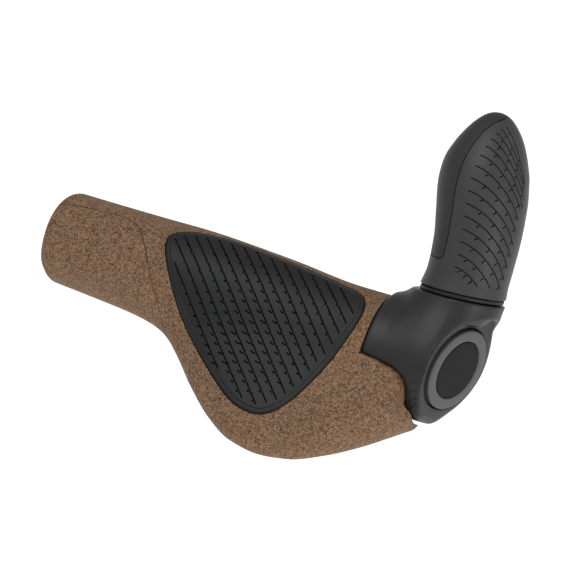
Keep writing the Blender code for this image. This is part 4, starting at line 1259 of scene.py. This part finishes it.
def make_end_cap():
    matrix = aim(CAP_CENTRE, CAP_AXIS)
    lip = 0.35 * MM
    inner = BADGE_R + GAP
    floor = CAP_DOME - BADGE_SINK - GAP
    profile = ([(0.0, floor), (inner, floor)]
               + arc((inner + lip, CAP_DOME - lip), lip, 180, 90)
               + arc((CAP_R - CAP_ROUND, CAP_DOME - CAP_ROUND - 0.05 * MM), CAP_ROUND, 85, 0, 8)
               + [(CAP_R, -CAP_RIM), (CAP_PLUG_R, -CAP_RIM)]
               + arc((CAP_PLUG_R - lip, -CAP_RIM - CAP_PLUG_LENGTH + lip), lip, 0, -90)
               + [(0.0, -CAP_RIM - CAP_PLUG_LENGTH)])
    return turned("end_cap_surface", profile, matrix, 160)


def make_cap_badge():
    matrix = aim(CAP_CENTRE + CAP_AXIS * (CAP_DOME - BADGE_SINK), CAP_AXIS)
    lip = 0.25 * MM
    crown = [(BADGE_R * t, BADGE_SINK - 0.12 * MM * t ** 2) for t in np.linspace(0.0, 0.92, 8)]
    edge = arc((BADGE_R - lip, BADGE_SINK - 0.12 * MM - lip), lip, 80, 0)
    profile = crown + edge + [(BADGE_R, 0.0), (0.0, 0.0)]
    return turned("cap_badge_surface", profile, matrix, 160)


# ------------------------------------------------------------------ core and bolt

def make_grip_core():
    c = CORE_CHAMFER
    profile = [(CORE_R, CORE_END - c), (CORE_R, c), (CORE_R - c, 0.0), (BORE_R + c, 0.0),
               (BORE_R, c), (BORE_R, CORE_END - c), (BORE_R + c, CORE_END),
               (CORE_R - c, CORE_END)]
    core = turned("grip_core_surface", profile, aim((0, 0, 0), ALONG), 160)
    combine(core, web_block("core_web", 0.0), "UNION")
    slit = math.atan2(BOLT_OUT[2], BOLT_OUT[1])
    for k in range(SLOTS):
        angle = slit + math.pi * (2 * k + 0.9) / SLOTS
        out = np.array((0.0, math.cos(angle), math.sin(angle)))
        centre = ALONG * CORE_END + out * (BORE_R + CORE_R) / 2
        combine(core, block(f"collar_slot_{k}", SLOT_SIZE, centre, ALONG, out))
    return core


def knurl_tree():
    """Rods standing in a circle."""
    tree = new_tree("rods_in_a_circle", (("Geometry", "Geometry"), ("Count", "Int"),
                                         ("Radius", "Float"), ("Thickness", "Float"),
                                         ("Height", "Float"), ("Finish", "Material")))
    given = tree.nodes.new("NodeGroupInput").outputs
    circle = tree_node(tree, "GeometryNodeCurvePrimitiveCircle", None,
                       {"Resolution": given["Count"], "Radius": given["Radius"]})
    rod = tree_node(tree, "GeometryNodeMeshCylinder", None,
                    {"Vertices": 6, "Radius": given["Thickness"], "Depth": given["Height"]})
    points = tree_node(tree, "GeometryNodeCurveToPoints", {"mode": "EVALUATED"},
                       {"Curve": circle.outputs["Curve"]})
    copies = tree_node(tree, "GeometryNodeInstanceOnPoints", None,
                       {"Points": points.outputs["Points"], "Instance": rod.outputs["Mesh"]})
    whole = tree_node(tree, "GeometryNodeRealizeInstances", None,
                      {"Geometry": copies.outputs["Instances"]})
    done = tree_node(tree, "GeometryNodeSetMaterial", None,
                     {"Geometry": whole.outputs["Geometry"], "Material": given["Finish"]})
    tree_node(tree, "NodeGroupOutput", None, {"Geometry": done.outputs["Geometry"]})
    return tree


def hexagon(name, flats, start, direction, length):
    return cylinder(name, flats / 2 / math.cos(math.pi / 6), start, direction, length, 6)


def make_clamp_bolt(finish):
    """Socket-head bolt: knurled head with a hexagon socket, and a shank with rolled thread."""
    seat = BOLT_POINT - BOLT_AXIS * (EAR + GAP + WASHER_HEIGHT + GAP)
    c = 0.4 * MM
    threads = []
    turns = int((BOLT_LENGTH - 2 * MM) / BOLT_PITCH)
    for k in range(turns):
        top = -1.0 * MM - k * BOLT_PITCH
        threads += [(BOLT_R - 0.28 * MM, top), (BOLT_R, top - 0.35 * BOLT_PITCH),
                    (BOLT_R, top - 0.5 * BOLT_PITCH), (BOLT_R - 0.28 * MM, top - 0.85 * BOLT_PITCH)]
    profile = ([(0.0, HEAD_HEIGHT), (HEAD_R - c, HEAD_HEIGHT), (HEAD_R, HEAD_HEIGHT - c),
                (HEAD_R, 0.0), (BOLT_R, 0.0)] + threads
               + [(BOLT_R - 0.5 * MM, -BOLT_LENGTH), (0.0, -BOLT_LENGTH)])
    bolt = turned("clamp_bolt_surface", profile, aim(seat, -BOLT_AXIS), 96)
    top = seat - BOLT_AXIS * (HEAD_HEIGHT / 2)
    combine(bolt, hexagon("hex_socket", HEX_FLATS, top, -BOLT_AXIS, HEAD_HEIGHT))
    knurl = add_mesh("head_knurl", np.zeros((1, 3)), [])
    grow(knurl, knurl_tree(), count=44, radius=HEAD_R - 0.1 * MM, thickness=0.2 * MM,
         height=0.7 * HEAD_HEIGHT, finish=finish)
    knurl.data.transform(aim(seat - BOLT_AXIS * 0.42 * HEAD_HEIGHT, -BOLT_AXIS))
    return combine(bolt, face_out(knurl), "UNION")


def make_bolt_washer():
    seat = BOLT_POINT - BOLT_AXIS * (EAR + GAP)
    c = 0.15 * MM
    profile = [(WASHER_R, WASHER_HEIGHT - c), (WASHER_R, 0.0), (BOLT_HOLE_R, 0.0),
               (BOLT_HOLE_R, WASHER_HEIGHT), (WASHER_R - c, WASHER_HEIGHT)]
    return turned("bolt_washer_surface", profile, aim(seat, -BOLT_AXIS), 96)


def make_clamp_nut():
    start = BOLT_POINT + BOLT_AXIS * (EAR + GAP)
    nut = hexagon("clamp_nut_surface", NUT_FLATS, start, BOLT_AXIS, NUT_HEIGHT)
    corner = NUT_FLATS / 2 / math.cos(math.pi / 6)
    cone = [(0.0, NUT_HEIGHT + 0.01 * MM), (NUT_FLATS / 2 - 0.1 * MM, NUT_HEIGHT + 0.01 * MM),
            (corner + 0.3 * MM, NUT_HEIGHT - 0.6 * MM), (corner + 0.3 * MM, -MM), (0.0, -MM)]
    combine(nut, turned("nut_chamfer", cone, aim(start, BOLT_AXIS), 96), "INTERSECT")
    return combine(nut, cylinder("nut_thread", BOLT_HOLE_R, start - BOLT_AXIS * MM, BOLT_AXIS,
                                 NUT_HEIGHT + 2 * MM, 64))


def make_angle_scale(finish):
    """Raised marks on the drum's rear band, for setting both horns to one angle."""
    lines = []
    share = np.linspace(0.0, 1.0, 10)
    for k in range(MARK_COUNT):
        angle = np.radians(MARK_ANGLE + MARK_PITCH * k - share * MARK_TURN * (k + 1))
        x = WINDOW_END + MARK_START + k * MARK_SHIFT + share * (MARK_LENGTH - k * MARK_SHIFT)
        out = np.stack((0 * angle, -np.sin(angle), np.cos(angle)), -1)
        low = np.full(len(x), 10 * MM)
        axis = x[:, None] * ALONG
        radius = solve(lambda r: clamp_outside(axis + r[:, None] * out), low, low + 14 * MM)
        lines.append((axis + radius[:, None] * out, out))
    return swept_bars("angle_scale", lines, MARK_WIDTH, MARK_HEIGHT, finish, 10)


# ------------------------------------------------------------------ studio

def make_camera():
    """A long lens from behind, outward and above."""
    target = Vector((81.6, 0.0, 11.6)) * MM
    azimuth, elevation = math.radians(27.0), math.radians(42.0)
    back = Vector((math.sin(azimuth) * math.cos(elevation),
                   -math.cos(azimuth) * math.cos(elevation), math.sin(elevation)))
    lens = bpy.data.cameras.new("camera")
    lens.lens, lens.sensor_width = 182.5, 36.0
    lens.clip_start = 0.05
    camera = bpy.data.objects.new("camera", lens)
    bpy.context.scene.collection.objects.link(camera)
    camera.location = target + back * 0.9
    camera.rotation_mode = "QUATERNION"
    camera.rotation_quaternion = (-back).to_track_quat("-Z", "Y")
    bpy.context.scene.camera = camera


def area_light(name, place, size, power):
    lamp = bpy.data.lights.new(name, "AREA")
    lamp.shape, lamp.size, lamp.energy = "DISK", size, power
    obj = bpy.data.objects.new(name, lamp)
    bpy.context.scene.collection.objects.link(obj)
    obj.location = place
    middle = (CAD_BOX[0] + CAD_BOX[1]) / 2
    obj.rotation_mode = "QUATERNION"
    obj.rotation_quaternion = (middle - Vector(place)).to_track_quat("-Z", "Y")


def make_studio():
    floor = add_mesh("floor", [(-3, -3, 0), (3, -3, 0), (3, 3, 0), (-3, 3, 0)], [(0, 1, 2, 3)])
    floor.location.z = CAD_BOX[0].z - FLOOR_DROP
    floor.data.materials.append(floor_finish())
    world = bpy.data.worlds.new("studio")
    world.use_nodes = True
    world.node_tree.nodes["Background"].inputs["Color"].default_value = (1.0, 1.0, 1.0, 1.0)
    world.node_tree.nodes["Background"].inputs["Strength"].default_value = WORLD_LIGHT
    bpy.context.scene.world = world
    area_light("key", (-0.15, -0.25, 1.0), 0.7, KEY_LIGHT)
    area_light("side", (0.95, -0.55, 0.2), 0.5, SIDE_LIGHT)
    area_light("rim", (0.9, 0.5, 0.7), 0.6, RIM_LIGHT)


# ------------------------------------------------------------------ assembly

def put(obj, finish, body, node=None):
    """Finish a piece: material, shading, the body it moves with and the CAD node it stands for."""
    obj.data.materials.clear()
    obj.data.materials.append(finish)
    smooth(obj)
    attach(obj, body)
    if node:
        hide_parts(node)


bpy.context.scene.view_settings.view_transform = "Standard"
make_camera()
make_studio()
SWEPT_BAR = swept_bar_tree()

CORK = cork_finish()
NYLON = moulded_finish("glass_filled_nylon", 0.024, 0.5)
PAD_RUBBER = moulded_finish("pad_rubber", 0.011, 0.52, tint=(0.97, 1.0, 1.02))
RESIN = moulded_finish("clamp_resin", 0.021, 0.42)
HORN_RUBBER = moulded_finish("horn_rubber", 0.042, 0.46)
PANEL_RUBBER = moulded_finish("panel_rubber", 0.028, 0.5)
TRIM = moulded_finish("trim_black", 0.016, 0.5)
CAP_GREY = moulded_finish("cap_grey", 0.075, 0.45)
BADGE = moulded_finish("badge_black", 0.018, 0.6, shine=0.06)
STEEL = steel_finish()

put(make_grip_core(), NYLON, "grip", "grip_core")
put(make_cork_body(CORK), CORK, "grip", "cork_body")
put(make_palm_pad(PAD_RUBBER), PAD_RUBBER, "grip", "palm_pad")
put(make_clamp_body(), RESIN, "bar_end", "clamp_body")
put(make_angle_scale(RESIN), RESIN, "bar_end")
put(make_trim_ring(), TRIM, "bar_end", "trim_ring")
put(make_horn_sleeve(HORN_RUBBER), HORN_RUBBER, "bar_end", "horn_sleeve")
put(make_thumb_panel(), PANEL_RUBBER, "bar_end", "thumb_panel")
put(make_clamp_nut(), STEEL, "bar_end", "clamp_nut")
put(make_bolt_washer(), STEEL, "bolt_carriage", "bolt_washer")
put(make_clamp_bolt(STEEL), STEEL, "bolt", "clamp_bolt")
put(make_end_cap(), CAP_GREY, "cap", "end_cap")
put(make_cap_badge(), BADGE, "cap", "cap_badge")
